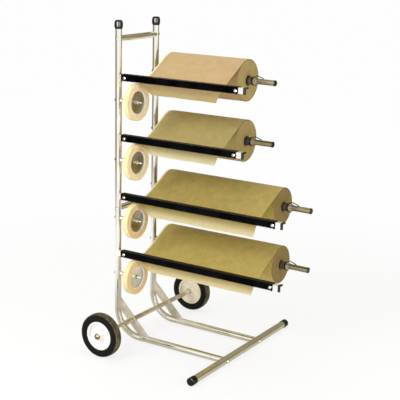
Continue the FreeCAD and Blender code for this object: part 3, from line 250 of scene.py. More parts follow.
# Drag springs: round oiled wire wound on a mandrel, in four open turns. One sits between
# each roll's bush and washer and keeps the roll from running on. The pins are darker wire.
UNITS = (1, 2, 3, 4)
ALONG_X = Vector((1, 0, 0))
SPRING_RADIUS = 12.5 * MM
SPRING_WIRE = 1.2 * MM
WIRE_SIDES = 12
SPRING_RISE = 14.0 * MM
SPRING_SEAT = 0.35 * MM
SPRING_TURNS = 4
COIL_STEPS = 144
spring_steel = plated("oiled_spring_wire", "#8E8280", "#605654", 0.16, 0.28, 3 * MM)
pin_wire_and_painted_shade = plated("black_oxide_wire", "#6A6454", "#46423A", 0.30, 0.45, 3 * MM)
dress(pin_wire_and_painted_shade, "hitch_pins")
springs = bmesh.new()
for unit in UNITS:
    roll_axis = middle(f"paper_roll_{unit}")
    bush_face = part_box(f"core_bushes_{unit}")[1].x
    start = Vector((bush_face + SPRING_SEAT + SPRING_WIRE, roll_axis.y, roll_axis.z))
    crest = Matrix.Translation(start + Vector((0, 0, SPRING_RADIUS)))
    ring = bmesh.ops.create_circle(springs, cap_ends=True, segments=WIRE_SIDES,
                                   radius=SPRING_WIRE,
                                   matrix=crest @ Matrix.Rotation(math.pi / 2, 4, "X"))
    wire_end = ring["verts"][0].link_faces[0]
    bmesh.ops.spin(springs, geom=[*wire_end.verts, *wire_end.edges, wire_end], cent=start,
                   axis=ALONG_X, dvec=ALONG_X * SPRING_RISE / COIL_STEPS,
                   angle=math.tau * SPRING_TURNS, steps=COIL_STEPS)
bmesh.ops.recalc_face_normals(springs, faces=springs.faces)
springs_piece = piece("drag_spring_coils", springs, "root", [spring_steel])
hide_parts("drag_springs")

# Paper rolls: kraft paper wound hard on a cardboard core, which black nylon bushes plug. The
# cut ends show the layers as fine rings, some sunk a little where the winding wandered. The
# ends are painted darker than the paper's face: partly the cut edges' own tone, partly painted
# shade on ends turned from the key light, most on the two lower rolls.
# The lowest roll's paper is painted paler, as painted light that lifts the shade of the rolls
# above.
KRAFT = {1: ("#C2A77A", "#B6996B"), 2: ("#BEAF72", "#AE9E61"),
         3: ("#BBA75F", "#A89450"), 4: ("#C8B468", "#B5A057")}
KRAFT_ENDS_PAINTED_SHADE = {1: ("#B59E64", "#97804C"), 2: ("#AC9662", "#8E7A48"),
              3: ("#917B49", "#745F34"), 4: ("#917B49", "#745F34")}
SOILED_KRAFT = "#6E6040"
FIBRE = 3.5 * MM
FIBRE_STRETCH = (1.0, 0.45, 0.45)
MOTTLE = 26 * MM
RING_WIDTH = 1.6 * MM
RIM_SOIL = 4 * MM
HEM_FADE = 42 * MM
HEM_SHARE = 0.55
END_LAYERS = 26
END_WANDER = 0.35
ROLL_STEPS = 128
ROLL_RIBS = 24
RIB_DEPTHS = (0.02, 0.22)
CORE_BORE = 14
CORE_WALL = 3
CORE_PROUD = 1
FACING = 0.7
draw = random.Random(7)


def kraft(name, light, dark, hem=None, hem_painted_tone=None):
    """Unbleached kraft: matt, mottled by its fibres, which are drawn long enough to show.
    A sheet's hem, from its lowest height up, takes on some of another tone: painted light and
    shade on the hanging lip."""
    finish, tree, shader = new_finish(name, Roughness=0.78, Sheen_Weight=0.08,
                                      Specular_IOR_Level=0.2)
    spot = add(tree, "ShaderNodeTexCoord").outputs["Object"]
    stretch = add(tree, "ShaderNodeMapping", {"Vector": spot, "Scale": FIBRE_STRETCH})
    fibres = add(tree, "ShaderNodeTexNoise", {"Vector": stretch.outputs["Vector"],
                                              "Scale": 1 / FIBRE, "Detail": 6.0})
    mottle = add(tree, "ShaderNodeTexNoise", {"Vector": spot, "Scale": 1 / MOTTLE, "Detail": 3.0})
    both = add(tree, "ShaderNodeMix", {"Factor": 0.5, "A": fibres.outputs["Fac"],
                                       "B": mottle.outputs["Fac"]})
    tone = add(tree, "ShaderNodeValToRGB", {"Fac": both.outputs["Result"]},
               [(0.35, dark), (0.65, light)]).outputs["Color"]
    if hem is not None:
        height = add(tree, "ShaderNodeSeparateXYZ", {0: spot}).outputs["Z"]
        share = add(tree, "ShaderNodeMapRange", {
            "Value": height, "From Min": hem, "From Max": hem + HEM_FADE,
            "To Min": HEM_SHARE, "To Max": 0.0}, interpolation_type="SMOOTHSTEP")
        tone = add(tree, "ShaderNodeMix", {"Factor": share.outputs["Result"], "A": tone,
                                           "B": linear(hem_painted_tone)},
                   data_type="RGBA").outputs["Result"]
    relief = add(tree, "ShaderNodeBump", {"Height": fibres.outputs["Fac"], "Strength": 0.25,
                                          "Distance": 0.1 * MM})
    tree.links.new(tone, shader.inputs["Base Color"])
    tree.links.new(relief.outputs["Normal"], shader.inputs["Normal"])
    return finish


def wound_ends(name, light, dark, centre, ring_width, outside, soil, roughness=0.8):
    """The cut ends of wound sheet: rings about the roll's axis, drawn coarser than the layers
    so that they show. Handling has soiled the outer ones."""
    finish, tree, shader = new_finish(name, Roughness=roughness, Specular_IOR_Level=0.25)
    spot = add(tree, "ShaderNodeTexCoord").outputs["Object"]
    centred = add(tree, "ShaderNodeMapping", {"Vector": spot,
                                              "Location": (0, -centre.y, -centre.z)})
    flat = add(tree, "ShaderNodeVectorMath", {0: centred.outputs["Vector"], 1: (0, 1, 1)},
               operation="MULTIPLY")
    radius = add(tree, "ShaderNodeVectorMath", {0: flat.outputs["Vector"]},
                 operation="LENGTH").outputs["Value"]
    rings = add(tree, "ShaderNodeTexNoise", {"W": radius, "Scale": 1 / ring_width, "Detail": 3.0},
                noise_dimensions="1D")
    mottle = add(tree, "ShaderNodeTexNoise", {"Vector": spot, "Scale": 1 / MOTTLE, "Detail": 4.0})
    both = add(tree, "ShaderNodeMix", {"Factor": 0.35, "A": rings.outputs["Fac"],
                                       "B": mottle.outputs["Fac"]})
    clean = add(tree, "ShaderNodeValToRGB", {"Fac": both.outputs["Result"]},
                [(0.3, dark), (0.7, light)])
    soiled = add(tree, "ShaderNodeMapRange", {"Value": radius, "From Min": outside - RIM_SOIL,
                                              "From Max": outside})
    tone = add(tree, "ShaderNodeMix", {"Factor": soiled.outputs["Result"],
                                       "A": clean.outputs["Color"], "B": linear(soil)},
               data_type="RGBA")
    relief = add(tree, "ShaderNodeBump", {"Height": rings.outputs["Fac"], "Strength": 0.5,
                                          "Distance": 0.2 * MM})
    tree.links.new(tone.outputs["Result"], shader.inputs["Base Color"])
    tree.links.new(relief.outputs["Normal"], shader.inputs["Normal"])
    return finish


def wound_edge(end, half, inner, layer, count, wander):
    """The layers' edges at one end of a roll, each sunk by up to a wander. They run outwards
    at the left end and back in at the right."""
    steps = range(count + 1) if end < 0 else range(count, -1, -1)
    return [(end * half + draw.uniform(-wander, 0) * end, inner + layer * step) for step in steps]


def finish_ends(shape, axis):
    """The second finish on every face that looks along the axis."""
    for face in shape.faces:
        if abs(face.normal.dot(axis)) > FACING:
            face.material_index = 1


def finish_inside(shape, centre, radius, number):
    """Another finish on the faces that look across a roll's axis, inside a radius."""
    for face in shape.faces:
        if abs(face.normal.x) < FACING and (face.calc_center_median() - centre).yz.length < radius:
            face.material_index = number


bush_plastic = moulded("black_nylon_bush", "#15140F", "#2A2820", 0.38)
for unit in UNITS:
    centre = middle(f"paper_roll_{unit}")
    low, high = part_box(f"paper_roll_{unit}")
    radius = (high.y - low.y) / 2 / MM
    core_end = (high.x - low.x) / 2 / MM
    half = core_end - CORE_PROUD
    core = CORE_BORE + CORE_WALL
    layer = (radius - core) / END_LAYERS
    left_end = wound_edge(-1, half, core, layer, END_LAYERS, END_WANDER)
    outside = [(-half + 2 * half * rib / ROLL_RIBS, radius - draw.uniform(*RIB_DEPTHS))
               for rib in range(1, ROLL_RIBS)]
    right_end = wound_edge(1, half, core, layer, END_LAYERS, END_WANDER)
    shape = spun(ALONG_X, centre, [
        (-core_end, CORE_BORE), (-core_end, core), *left_end, *outside, *right_end,
        (core_end, core), (core_end, CORE_BORE)], ROLL_STEPS)
    finish_ends(shape, ALONG_X)
    roll = piece(f"masking_paper_{unit}", shape, f"paper_roll_{unit}", [
        kraft(f"kraft_paper_{unit}", *KRAFT[unit]),
        wound_ends(f"kraft_roll_end_{unit}", *KRAFT_ENDS_PAINTED_SHADE[unit], centre, RING_WIDTH, radius * MM,
                   SOILED_KRAFT)])
    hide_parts(f"paper_roll_{unit}")
    dress(bush_plastic, f"core_bushes_{unit}")

# Tape rolls: cream crepe masking tape on a three-inch core. The face shows the crepe, the sides
# show the wound layers, and the core inside is white card whose outer edge is crushed to a bevel.
TAPE_LAYERS = 18
TAPE_WANDER = 0.3
TAPE_RING = 0.9 * MM
CREPE = 1.3 * MM
CREPE_STRETCH = (0.25, 1.0, 1.0)
TAPE_CORE = 38.1
TAPE_CORE_WALL = 2.4
CORE_SUNK = 0.5
CORE_BEVEL = 2.7
CORE_SKIN = 0.1
TAPE_HALF = 9.5
TAPE_RADIUS = 62.0
FACE_INSET = 0.6
FACE_CREST = 0.3
FRESH_SIDE = ("#FFF4CE", "#FDDDA4")
AGED_SIDE = ("#F8DCAB", "#E4BF86")
TAPE_SIDES = {1: FRESH_SIDE, 2: FRESH_SIDE, 3: AGED_SIDE, 4: AGED_SIDE}
SOILED_TAPE = "#F7D7A0"


def crepe(name, light, dark):
    """Crepe paper: fine wrinkles across the tape, drawn coarse enough to show."""
    finish, tree, shader = new_finish(name, Roughness=0.6)
    spot = add(tree, "ShaderNodeTexCoord").outputs["Object"]
    stretch = add(tree, "ShaderNodeMapping", {"Vector": spot, "Scale": CREPE_STRETCH})
    wrinkles = add(tree, "ShaderNodeTexNoise", {"Vector": stretch.outputs["Vector"],
                                                "Scale": 1 / CREPE, "Detail": 4.0})
    tone = add(tree, "ShaderNodeValToRGB", {"Fac": wrinkles.outputs["Fac"]},
               [(0.35, dark), (0.65, light)])
    relief = add(tree, "ShaderNodeBump", {"Height": wrinkles.outputs["Fac"], "Strength": 0.4,
                                          "Distance": 0.15 * MM})
    tree.links.new(tone.outputs["Color"], shader.inputs["Base Color"])
    tree.links.new(relief.outputs["Normal"], shader.inputs["Normal"])
    return finish


tape_face = crepe("crepe_masking_tape", "#FBEFB8", "#F1DA9C")
core_card = moulded("white_card_core", "#FFFEFA", "#FAF6EC", 0.6, 2.2 * MM)
for unit in UNITS:
    centre = middle(f"tape_roll_{unit}")
    core = TAPE_CORE + TAPE_CORE_WALL
    core_end = TAPE_HALF - CORE_SUNK
    layer = (TAPE_RADIUS - FACE_CREST - core) / TAPE_LAYERS
    left_side = wound_edge(-1, TAPE_HALF, core, layer, TAPE_LAYERS, TAPE_WANDER)
    right_side = wound_edge(1, TAPE_HALF, core, layer, TAPE_LAYERS, TAPE_WANDER)
    shape = spun(ALONG_X, centre, [
        (-core_end, TAPE_CORE), (-core_end, core), *left_side,
        (-TAPE_HALF + FACE_INSET, TAPE_RADIUS), (TAPE_HALF - FACE_INSET, TAPE_RADIUS),
        *right_side, (core_end, core), (core_end - CORE_BEVEL, TAPE_CORE)], ROLL_STEPS)
    finish_ends(shape, ALONG_X)
    finish_inside(shape, centre, (core - CORE_SKIN) * MM, 2)
    tape = piece(f"masking_tape_{unit}", shape, f"tape_roll_{unit}", [
        tape_face,
        wound_ends(f"tape_side_{unit}", *TAPE_SIDES[unit], centre, TAPE_RING, TAPE_RADIUS * MM,
                   SOILED_TAPE, roughness=0.5),
        core_card])
    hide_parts(f"tape_roll_{unit}")

# Tape hubs: dished from sheet steel and plated, a push fit in the tape's core. The flat of the
# dish is slightly domed and lies just inside the core, within a wall enamelled white. That white
# wall and boss are a painted highlight. The plate is painted darker on three hubs and paler on
# the lowest as painted reflection, and the lowest hub's wall and boss are painted dark as
# painted shade.
DISH_RADIUS = 37.9
DISH_RECESS = 3.4
DISH_DOME = 1.4
DOME_STEPS = 6
DISH_SHEET = 1.6
DISH_WALL = 37.1
WALL_END = -3.2
WALL_FILLET = 0.5
WALL_SHORT = 2
BOSS_RADIUS = 6.5
BOSS_BORE = 3.5
BOSS_FILLET = 1
BOSS_CHAMFER = 0.6
BOSS_SHORT = 0.5
BOSS_BACK = 1.5
# Painted reflection: the plate is darker on three hubs and paler on the lowest, for what each
# mirrors.
hub_plate = plated("pressed_hub_plate_painted_dark_reflection", "#D2CBBA", "#ACA591", 0.26, 0.40, 9 * MM)
hub_plate_painted_pale_reflection = plated("hub_plate_painted_pale_reflection", "#FFFAEC", "#EFE6D0", 0.26, 0.40, 4 * MM)
for unit in UNITS:
    low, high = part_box(f"tape_hub_{unit}")
    centre = middle(f"tape_hub_{unit}")
    centre.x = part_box(f"tape_roll_{unit}")[1].x
    flat = -DISH_RECESS
    rim = flat - DISH_DOME
    inside = DISH_RADIUS - DISH_SHEET
    wall_back = (low.x - centre.x) / MM + WALL_SHORT
    boss_back = wall_back - BOSS_BACK
    boss_face = (high.x - centre.x) / MM - BOSS_SHORT
    boss_foot = BOSS_RADIUS + BOSS_FILLET
    dome = [(flat - DISH_DOME * share ** 2, boss_foot + (inside - boss_foot) * share)
            for share in [step / DOME_STEPS for step in range(DOME_STEPS + 1)]]
    shape = spun(ALONG_X, centre, [
        (boss_face, BOSS_BORE), (boss_face, BOSS_RADIUS - BOSS_CHAMFER),
        (boss_face - BOSS_CHAMFER, BOSS_RADIUS), (flat + BOSS_FILLET, BOSS_RADIUS), *dome,
        (rim + WALL_FILLET, DISH_WALL), (WALL_END, DISH_WALL), (WALL_END, DISH_RADIUS),
        (wall_back, DISH_RADIUS), (wall_back, inside), (rim - DISH_SHEET, inside),
        (flat - DISH_SHEET, BOSS_RADIUS), (boss_back, BOSS_RADIUS), (boss_back, BOSS_BORE)],
        ROLL_STEPS)
    finish_inside(shape, centre, DISH_RADIUS * MM, 1)
    # The lowest hub's wall and boss take the dark pin wire as painted shade; on the others they
    # take white enamel as a painted highlight.
    hub = piece(f"tape_hub_dish_{unit}", shape, f"tape_roll_{unit}",
                [hub_plate_painted_pale_reflection, pin_wire_and_painted_shade] if unit == 4 else [hub_plate, white_enamel_and_painted_highlight])
    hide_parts(f"tape_hub_{unit}")

# Spindles: turned studs with a shoulder, bolted through the near upright, one for each tape
# hub. They are zinc plated to a bright satin.
stud_zinc = plated("satin_zinc_stud", "#FFFDF8", "#EEEAE0", 0.30, 0.42, 3 * MM)
dress(stud_zinc, "tape_spindles")

# Cutter bars: hot-rolled angle, zinc plated, with one rounded corner beside the upright. The
# rolled face keeps the plating pale and soft, so it is part metal only.
bar_plate = plated("zinc_plated_angle", "#FBF9F4", "#EFEBE2", 0.14, 0.28, metallic=0.4)
dress(bar_plate, *[f"cutter_bar_{unit}" for unit in UNITS])

# Blades: spring steel strip with a row of punched teeth, screwed over the front and the top
# of each bar. They are blacked and oiled to a low gloss.
blade_black = plated("blacked_blade_steel", "#16161A", "#0B0B0D", 0.30, 0.42)
dress(blade_black, *[f"cutter_blade_{unit}" for unit in UNITS])

# Paper sheets: the web that was drawn off each roll. It bends over the tape at its left edge,
# hangs behind the blade as a lip and ends in the small teeth of the last cut. A strip of tape
# sticks under that edge and stands out beside it, down to its own roll.
SHEET_THICK = 0.16 * MM
SHEET_LIFT = 0.55 * MM
START_LIFT = 0.14 * MM
WRAP_BACK = math.radians(24)
WRAP_STEPS = 24
EASE_ROUNDS = 14
CELL = 2.5 * MM
TOOTH = 1.3 * MM
SHEET_ROWS = 100
TUBE_RADIUS = 11.1 * MM
FOLD = Vector((0, 84, 6)) * MM
LIP_FOLD = Vector((0, 38, -23)) * MM
LIP_END_Y = 16 * MM
LIP_CLEAR = 0.3 * MM
TAPE_LIFT = 0.6 * MM
TAPE_TOUCH_Y = 22 * MM
TAPE_EDGE_Y = -2 * MM
TAPE_SIDE_END = 87 * MM
FULL_LIP_START = 130 * MM
CURL_WIDTH = 30 * MM
CURL_DROP = 2.5 * MM
CURL_REACH = 0.9
RIPPLE = 0.9 * MM
RIPPLE_RAMP = 2.5
RIPPLE_ACROSS = 71 * MM
RIPPLE_ALONG = 45 * MM
RIPPLE_APART = 5.3
STRIP_GAP = 0.2 * MM
STRIP_THICK = 0.12 * MM
STRIP_START = 0.45
STRIP_COLUMNS = 12
# Painted light and shade on the lips: the hem turns paler on three sheets, and darker olive on the
# first, whose lip hangs in shade.
PALE_HEM_PAINTED_LIGHT = "#EEE4BE"
LIP_TONES_PAINTED_LIGHT = {1: "#A09862", 2: PALE_HEM_PAINTED_LIGHT, 3: PALE_HEM_PAINTED_LIGHT, 4: PALE_HEM_PAINTED_LIGHT}
upright_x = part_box("near_frame_tube")[0].x + TUBE_RADIUS
upright_y = middle("near_frame_tube").y


def resampled(points, count):
    """Evenly spaced points along a line of points, and the line's length."""
    lengths = [(after - spot).length for spot, after in zip(points, points[1:])]
    total = sum(lengths)
    spots = []
    index = 0
    passed = 0
    for step in range(count):
        reach = total * step / (count - 1)
        while index < len(lengths) - 1 and passed + lengths[index] < reach:
            passed += lengths[index]
            index += 1
        spots.append(points[index].lerp(points[index + 1], (reach - passed) / lengths[index]))
    return spots, total


def softened(points, first):
    """The same line with its corners eased, from one point on to its fixed end."""
    for _ in range(EASE_ROUNDS):
        eased = list(points)
        for index in range(first, len(points) - 1):
            eased[index] = (points[index - 1] + points[index] * 2 + points[index + 1]) / 4
        points = eased
    return points


def smooth_step(share):
    """A share from 0 to 1 that starts and ends gently."""
    share = min(1, max(0, share))
    return share * share * (3 - 2 * share)


def sheet_path(unit, tail):
    """The sheet's line in Y and Z: round the top of its roll, straight to the fold, then the
    tail. With it come its length and the last row that the roll holds."""
    centre = middle(f"paper_roll_{unit}")
    centre.x = 0
    radius = (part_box(f"paper_roll_{unit}")[1].y - centre.y) + SHEET_LIFT
    fold = Vector((0, upright_y, centre.z)) + FOLD
    away = fold - centre
    start = math.pi / 2 - WRAP_BACK
    leave = math.atan2(away.z, away.y) - math.acos(radius / away.length)
    points = []
    for step in range(WRAP_STEPS + 1):
        angle = start + (leave - start) * step / WRAP_STEPS
        lift = START_LIFT - SHEET_LIFT if step == 0 else 0
        points.append(centre + Vector((0, math.cos(angle), math.sin(angle))) * (radius + lift))
    wrapped = sum((after - spot).length for spot, after in zip(points, points[1:]))
    line, length = resampled(points + [fold] + tail, SHEET_ROWS + 1)
    held = math.ceil(wrapped / length * SHEET_ROWS)
    return softened(line, held + 2), length, held


def web_spot(unit, start_x, x, row, lines, held):
    """A spot on the web: its line there, with the edge's curl and a shallow ripple."""
    share = smooth_step((x - upright_x - TAPE_SIDE_END) / (FULL_LIP_START - TAPE_SIDE_END))
    spot = lines[0][row].lerp(lines[1][row], share)
    done = row / SHEET_ROWS
    loose = smooth_step((row - held) / (SHEET_ROWS - held) * RIPPLE_RAMP)
    bow = math.sin(math.pi * min(1, max(0, (row - held) / (CURL_REACH * SHEET_ROWS - held))))
    curl = max(0, 1 - (x - start_x) / CURL_WIDTH) ** 2 * CURL_DROP * bow
    wave = Vector((x / RIPPLE_ACROSS, spot.y / RIPPLE_ALONG, unit * RIPPLE_APART))
    ripple = noise.noise(wave) * RIPPLE
    return Vector((x, spot.y, spot.z - curl + ripple * loose * (1 + share * done)))


def thickened(sheet, thickness):
    """Gives a sheet its thickness, half on each side."""
    skin = sheet.modifiers.new("thickness", "SOLIDIFY")
    skin.thickness = thickness
    skin.offset = 0


for unit in UNITS:
    low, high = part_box(f"paper_web_{unit}")
    base = Vector((0, upright_y, middle(f"paper_roll_{unit}").z))
    tape_low, tape_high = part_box(f"tape_roll_{unit}")
    tape_centre = (tape_low + tape_high) / 2
    reach = TAPE_RADIUS * MM + TAPE_LIFT
    lie = math.asin((TAPE_TOUCH_Y + TAPE_EDGE_Y) / 2 / reach)
    over_tape = [
        Vector((0, upright_y + y, tape_centre.z + (reach - y * math.sin(lie)) / math.cos(lie)))
        for y in (TAPE_TOUCH_Y, TAPE_EDGE_Y)]
    lip_end = Vector((0, upright_y + LIP_END_Y, low.z + LIP_CLEAR))
    edge_line = sheet_path(unit, over_tape)[0]
    lip_line, lip_length, held = sheet_path(unit, [base + LIP_FOLD, lip_end])
    lines = (edge_line, lip_line)
    width = high.x - low.x
    columns = 2 * round(width / CELL / 2)
    shape = bmesh.new()
    bmesh.ops.create_grid(shape, x_segments=columns, y_segments=SHEET_ROWS, size=1)
    for vert in shape.verts:
        across = (vert.co.x + 1) / 2
        row = round((1 - vert.co.y) / 2 * SHEET_ROWS)
        vert.co = web_spot(unit, low.x, low.x + across * width, row, lines, held)
        if row == SHEET_ROWS and round(across * columns) % 2:
            vert.co += (lip_line[-1] - lip_line[-2]).normalized() * TOOTH
    bmesh.ops.recalc_face_normals(shape, faces=shape.faces)
    sheet = piece(f"paper_sheet_{unit}", shape, "root", [
        kraft(f"kraft_sheet_{unit}", *KRAFT[unit], low.z, LIP_TONES_PAINTED_LIGHT[unit])], sharp=60)
    thickened(sheet, SHEET_THICK)
    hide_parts(f"paper_web_{unit}")

    first = round(held * STRIP_START)
    shape = bmesh.new()
    bmesh.ops.create_grid(shape, x_segments=STRIP_COLUMNS, y_segments=SHEET_ROWS - first, size=1)
    for vert in shape.verts:
        x = tape_centre.x + vert.co.x * (tape_high.x - tape_low.x) / 2
        row = first + round((1 - vert.co.y) / 2 * (SHEET_ROWS - first))
        way = edge_line[min(row + 1, SHEET_ROWS)] - edge_line[max(row - 1, 0)]
        under = Vector((0, way.z, -way.y)).normalized() * -STRIP_GAP
        vert.co = web_spot(unit, low.x, x, row, lines, held) + under
    bmesh.ops.recalc_face_normals(shape, faces=shape.faces)
    strip = piece(f"tape_strip_{unit}", shape, "root", [tape_face], sharp=60)
    thickened(strip, STRIP_THICK)

# Floor and surroundings: a white floor that keeps a soft shadow, in a plain white studio. The
# plating mirrors a beige painted shadow on the floor close by, white in front, and an olive-grey
# room behind that is paler overhead. Zones are in metres from the object. The other ranges
# compare directions.
FLOOR_HALF = 30
SHADOW_ZONE = (0.7, 2.2)
FLOOR_GLOW = (0.78, 0.97)
MIRRORED_SHADE_ZONE = (0.45, 1.2)
WHITE_ZONE = (1.2, 3.2)
FLOOR_FRONT = (0.1, 0.45)
ROOM_FRONT = (-0.1, 0.2)
ROOM_LOW = (0.5, 0.85)
ROOM_HIGH = (0.55, 0.82)
WHITE = linear("#FFFFFF")
MIRRORED_FLOOR_SHADE = linear("#B2AB94")
OLIVE_ROOM = "#8F8768"
PALE_CEILING = "#D2CAB6"
AMBIENT = 0.62
FRONT_TURN = math.radians(14)
CAMERA_AZIMUTH = math.radians(32.343)
to_camera = Vector((math.sin(CAMERA_AZIMUTH), -math.cos(CAMERA_AZIMUTH), 0))
to_right = Vector((math.cos(CAMERA_AZIMUTH), math.sin(CAMERA_AZIMUTH), 0))
to_front = to_camera * math.cos(FRONT_TURN) + to_right * math.sin(FRONT_TURN)


def ray_kinds(tree):
    """Whether the camera sees a spot itself, and whether it sees it in metal or through glass."""
    path = add(tree, "ShaderNodeLightPath")
    mirrored = add(tree, "ShaderNodeMath", {0: path.outputs["Is Glossy Ray"],
                                            1: path.outputs["Is Transmission Ray"]},
                   operation="MAXIMUM")
    return path.outputs["Is Camera Ray"], mirrored.outputs["Value"]


def front_share(tree, spot, way, cosines):
    """How far a spot's direction points one way, from 0 at the first cosine to 1 at the last."""
    level = add(tree, "ShaderNodeVectorMath", {0: spot, 1: (1, 1, 0)}, operation="MULTIPLY")
    unit = add(tree, "ShaderNodeVectorMath", {0: level.outputs["Vector"]}, operation="NORMALIZE")
    facing = add(tree, "ShaderNodeVectorMath", {0: unit.outputs["Vector"], 1: way},
                 operation="DOT_PRODUCT")
    return add(tree, "ShaderNodeMapRange", {
        "Value": facing.outputs["Value"], "From Min": cosines[0], "From Max": cosines[1]},
        interpolation_type="SMOOTHSTEP").outputs["Result"]


shape = bmesh.new()
bmesh.ops.create_grid(shape, x_segments=1, y_segments=1, size=FLOOR_HALF)
mesh = bpy.data.meshes.new("floor")
shape.to_mesh(mesh)
shape.free()
floor = bpy.data.objects.new("floor", mesh)
bpy.context.scene.collection.objects.link(floor)
floor_paint, tree, shader = new_finish("white_floor", Base_Color=linear("#F4F3F0"), Roughness=0.9)
mesh.materials.append(floor_paint)
camera_ray, mirror_ray = ray_kinds(tree)
spot = add(tree, "ShaderNodeTexCoord").outputs["Object"]
away = add(tree, "ShaderNodeVectorMath", {0: spot}, operation="LENGTH").outputs["Value"]
seen = add(tree, "ShaderNodeMath", {0: camera_ray, 1: mirror_ray}, operation="MAXIMUM")
glow_there = add(tree, "ShaderNodeMapRange", {
    "Value": away, "From Min": SHADOW_ZONE[0], "From Max": SHADOW_ZONE[1],
    "To Min": FLOOR_GLOW[0], "To Max": FLOOR_GLOW[1]}, interpolation_type="SMOOTHSTEP")
glow_share = add(tree, "ShaderNodeMath", {0: seen.outputs["Value"],
                                          1: glow_there.outputs["Result"]}, operation="MULTIPLY")
# Painted shadow: close by, the floor shows beige in the plating, as the object's shadow.
mirrored_shade_share = add(tree, "ShaderNodeMapRange", {
    "Value": away, "From Min": MIRRORED_SHADE_ZONE[0], "From Max": MIRRORED_SHADE_ZONE[1],
    "To Min": 1.0, "To Max": 0.0}, interpolation_type="SMOOTHSTEP")
white_ring = add(tree, "ShaderNodeMapRange", {
    "Value": away, "From Min": WHITE_ZONE[0], "From Max": WHITE_ZONE[1],
    "To Min": 1.0, "To Max": 0.0}, interpolation_type="SMOOTHSTEP")
white_share = add(tree, "ShaderNodeMath", {
    0: white_ring.outputs["Result"], 1: front_share(tree, spot, to_front, FLOOR_FRONT)},
    operation="MAXIMUM")
floor_with_painted_shade = add(tree, "ShaderNodeMix", {"Factor": mirrored_shade_share.outputs["Result"], "A": WHITE,
                                         "B": MIRRORED_FLOOR_SHADE}, data_type="RGBA")
in_mirror = add(tree, "ShaderNodeMix", {
    "Factor": white_share.outputs["Value"], "A": linear(OLIVE_ROOM),
    "B": floor_with_painted_shade.outputs["Result"]}, data_type="RGBA")
glow_tone = add(tree, "ShaderNodeMix", {
    "Factor": camera_ray, "A": in_mirror.outputs["Result"], "B": WHITE}, data_type="RGBA")
glow = add(tree, "ShaderNodeEmission", {"Color": glow_tone.outputs["Result"], "Strength": 1.0})
mixed = add(tree, "ShaderNodeMixShader", {0: glow_share.outputs["Value"],
                                          1: shader.outputs["BSDF"], 2: glow.outputs["Emission"]})
tree.links.new(mixed.outputs["Shader"], tree.nodes["Material Output"].inputs["Surface"])

world = bpy.data.worlds.new("studio")
bpy.context.scene.world = world
world.use_nodes = True
tree = world.node_tree
tree.nodes.clear()
camera_ray, mirror_ray = ray_kinds(tree)
direction = add(tree, "ShaderNodeTexCoord").outputs["Generated"]
height = add(tree, "ShaderNodeSeparateXYZ", {0: direction}).outputs["Z"]
low_down = add(tree, "ShaderNodeMapRange", {
    "Value": height, "From Min": ROOM_LOW[0], "From Max": ROOM_LOW[1],
    "To Min": 1.0, "To Max": 0.0}, interpolation_type="SMOOTHSTEP")
overhead = add(tree, "ShaderNodeValToRGB", {"Fac": height},
               [(ROOM_HIGH[0], OLIVE_ROOM), (ROOM_HIGH[1], PALE_CEILING)])
white_share = add(tree, "ShaderNodeMath", {
    0: low_down.outputs["Result"], 1: front_share(tree, direction, to_camera, ROOM_FRONT)},
    operation="MULTIPLY")
room = add(tree, "ShaderNodeMix", {"Factor": white_share.outputs["Value"],
                                   "A": overhead.outputs["Color"], "B": WHITE}, data_type="RGBA")
mirrored = add(tree, "ShaderNodeBackground", {"Color": room.outputs["Result"], "Strength": 1.0})
ambient = add(tree, "ShaderNodeBackground", {"Color": WHITE, "Strength": AMBIENT})
backdrop = add(tree, "ShaderNodeBackground", {"Color": WHITE, "Strength": 1.0})
unseen = add(tree, "ShaderNodeMixShader", {0: mirror_ray, 1: ambient.outputs["Background"],
                                           2: mirrored.outputs["Background"]})
studio = add(tree, "ShaderNodeMixShader", {0: camera_ray, 1: unseen.outputs["Shader"],
                                           2: backdrop.outputs["Background"]})
add(tree, "ShaderNodeOutputWorld", {"Surface": studio.outputs["Shader"]})

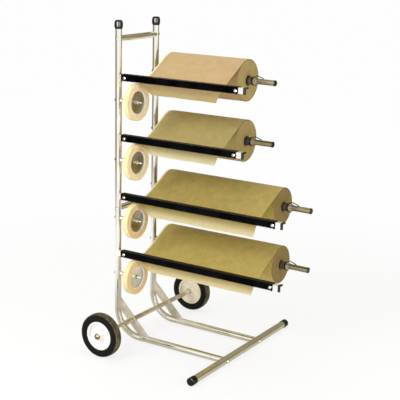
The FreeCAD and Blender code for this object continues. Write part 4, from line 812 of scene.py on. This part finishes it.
# Lamps: a large soft box on the left, weaker ones on the right and overhead, and a weak one
# near the floor, which lights what hangs down. Two tall boxes beside the camera show only as
# stripes in the black caps and the small bright parts. Places and sizes are in metres.
AIM = Vector((-0.0648, 0.022, 0.5129))
shiny = bpy.data.collections.new("shiny_small_parts")
for name in ("upright_caps", "drag_washers", "foot_caps", "shaft_end_caps", "bar_end_caps",
             "tape_spindles", "blade_screws", "stop_collars", "axle_caps", "crossbar_bolts",
             "foot_bolts"):
    shiny.objects.link(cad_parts[name])
for name, across, nearer, height, wide, tall, watts, stripe in (
        ("key_light", -1.7, 1.5, 1.9, 1.3, 1.3, 34, False),
        ("fill_light", 1.9, 1.3, 1.0, 1.4, 1.4, 15, False),
        ("top_light", -0.3, -0.6, 2.6, 1.4, 1.4, 14, False),
        ("low_light", 0.2, 1.9, 0.1, 1.4, 0.8, 6, False),
        ("left_stripe", -1.35, 2.2, 1.1, 1.5, 2.0, 180, True),
        ("right_stripe", 1.2, 2.3, 1.1, 1.4, 2.0, 70, True)):
    lamp = bpy.data.lights.new(name, "AREA")
    lamp.shape = "RECTANGLE"
    lamp.size = wide
    lamp.size_y = tall
    lamp.energy = watts
    box = bpy.data.objects.new(name, lamp)
    box.location = AIM + to_right * across + to_camera * nearer + Vector((0, 0, height - AIM.z))
    box.rotation_euler = (box.location - AIM).to_track_quat("Z", "Y").to_euler()
    box.visible_glossy = stripe
    box.visible_diffuse = not stripe
    if stripe:
        box.light_linking.receiver_collection = shiny
    bpy.context.scene.collection.objects.link(box)

# Camera: a long lens at the photograph's angle. Its angles and distance, and the focal length
# in pixels of the picture, were found by fitting the object's known sizes.
CAMERA_ELEVATION = math.radians(14.431)
CAMERA_ROLL = math.radians(1.27)
CAMERA_DISTANCE = 3.5368
FOCAL_PIXELS = 1029.49
PICTURE = 400
back = to_camera * math.cos(CAMERA_ELEVATION) + Vector((0, 0, math.sin(CAMERA_ELEVATION)))
up = back.cross(to_right)
right = to_right * math.cos(CAMERA_ROLL) + up * math.sin(CAMERA_ROLL)
lens = bpy.data.cameras.new("camera")
lens.sensor_width = 36
lens.lens = FOCAL_PIXELS / PICTURE * lens.sensor_width
camera = bpy.data.objects.new("camera", lens)
turned = Matrix((right, back.cross(right), back)).transposed()
camera.matrix_world = Matrix.Translation(AIM + back * CAMERA_DISTANCE) @ turned.to_4x4()
bpy.context.scene.collection.objects.link(camera)
bpy.context.scene.camera = camera
bpy.context.scene.view_settings.view_transform = "Standard"
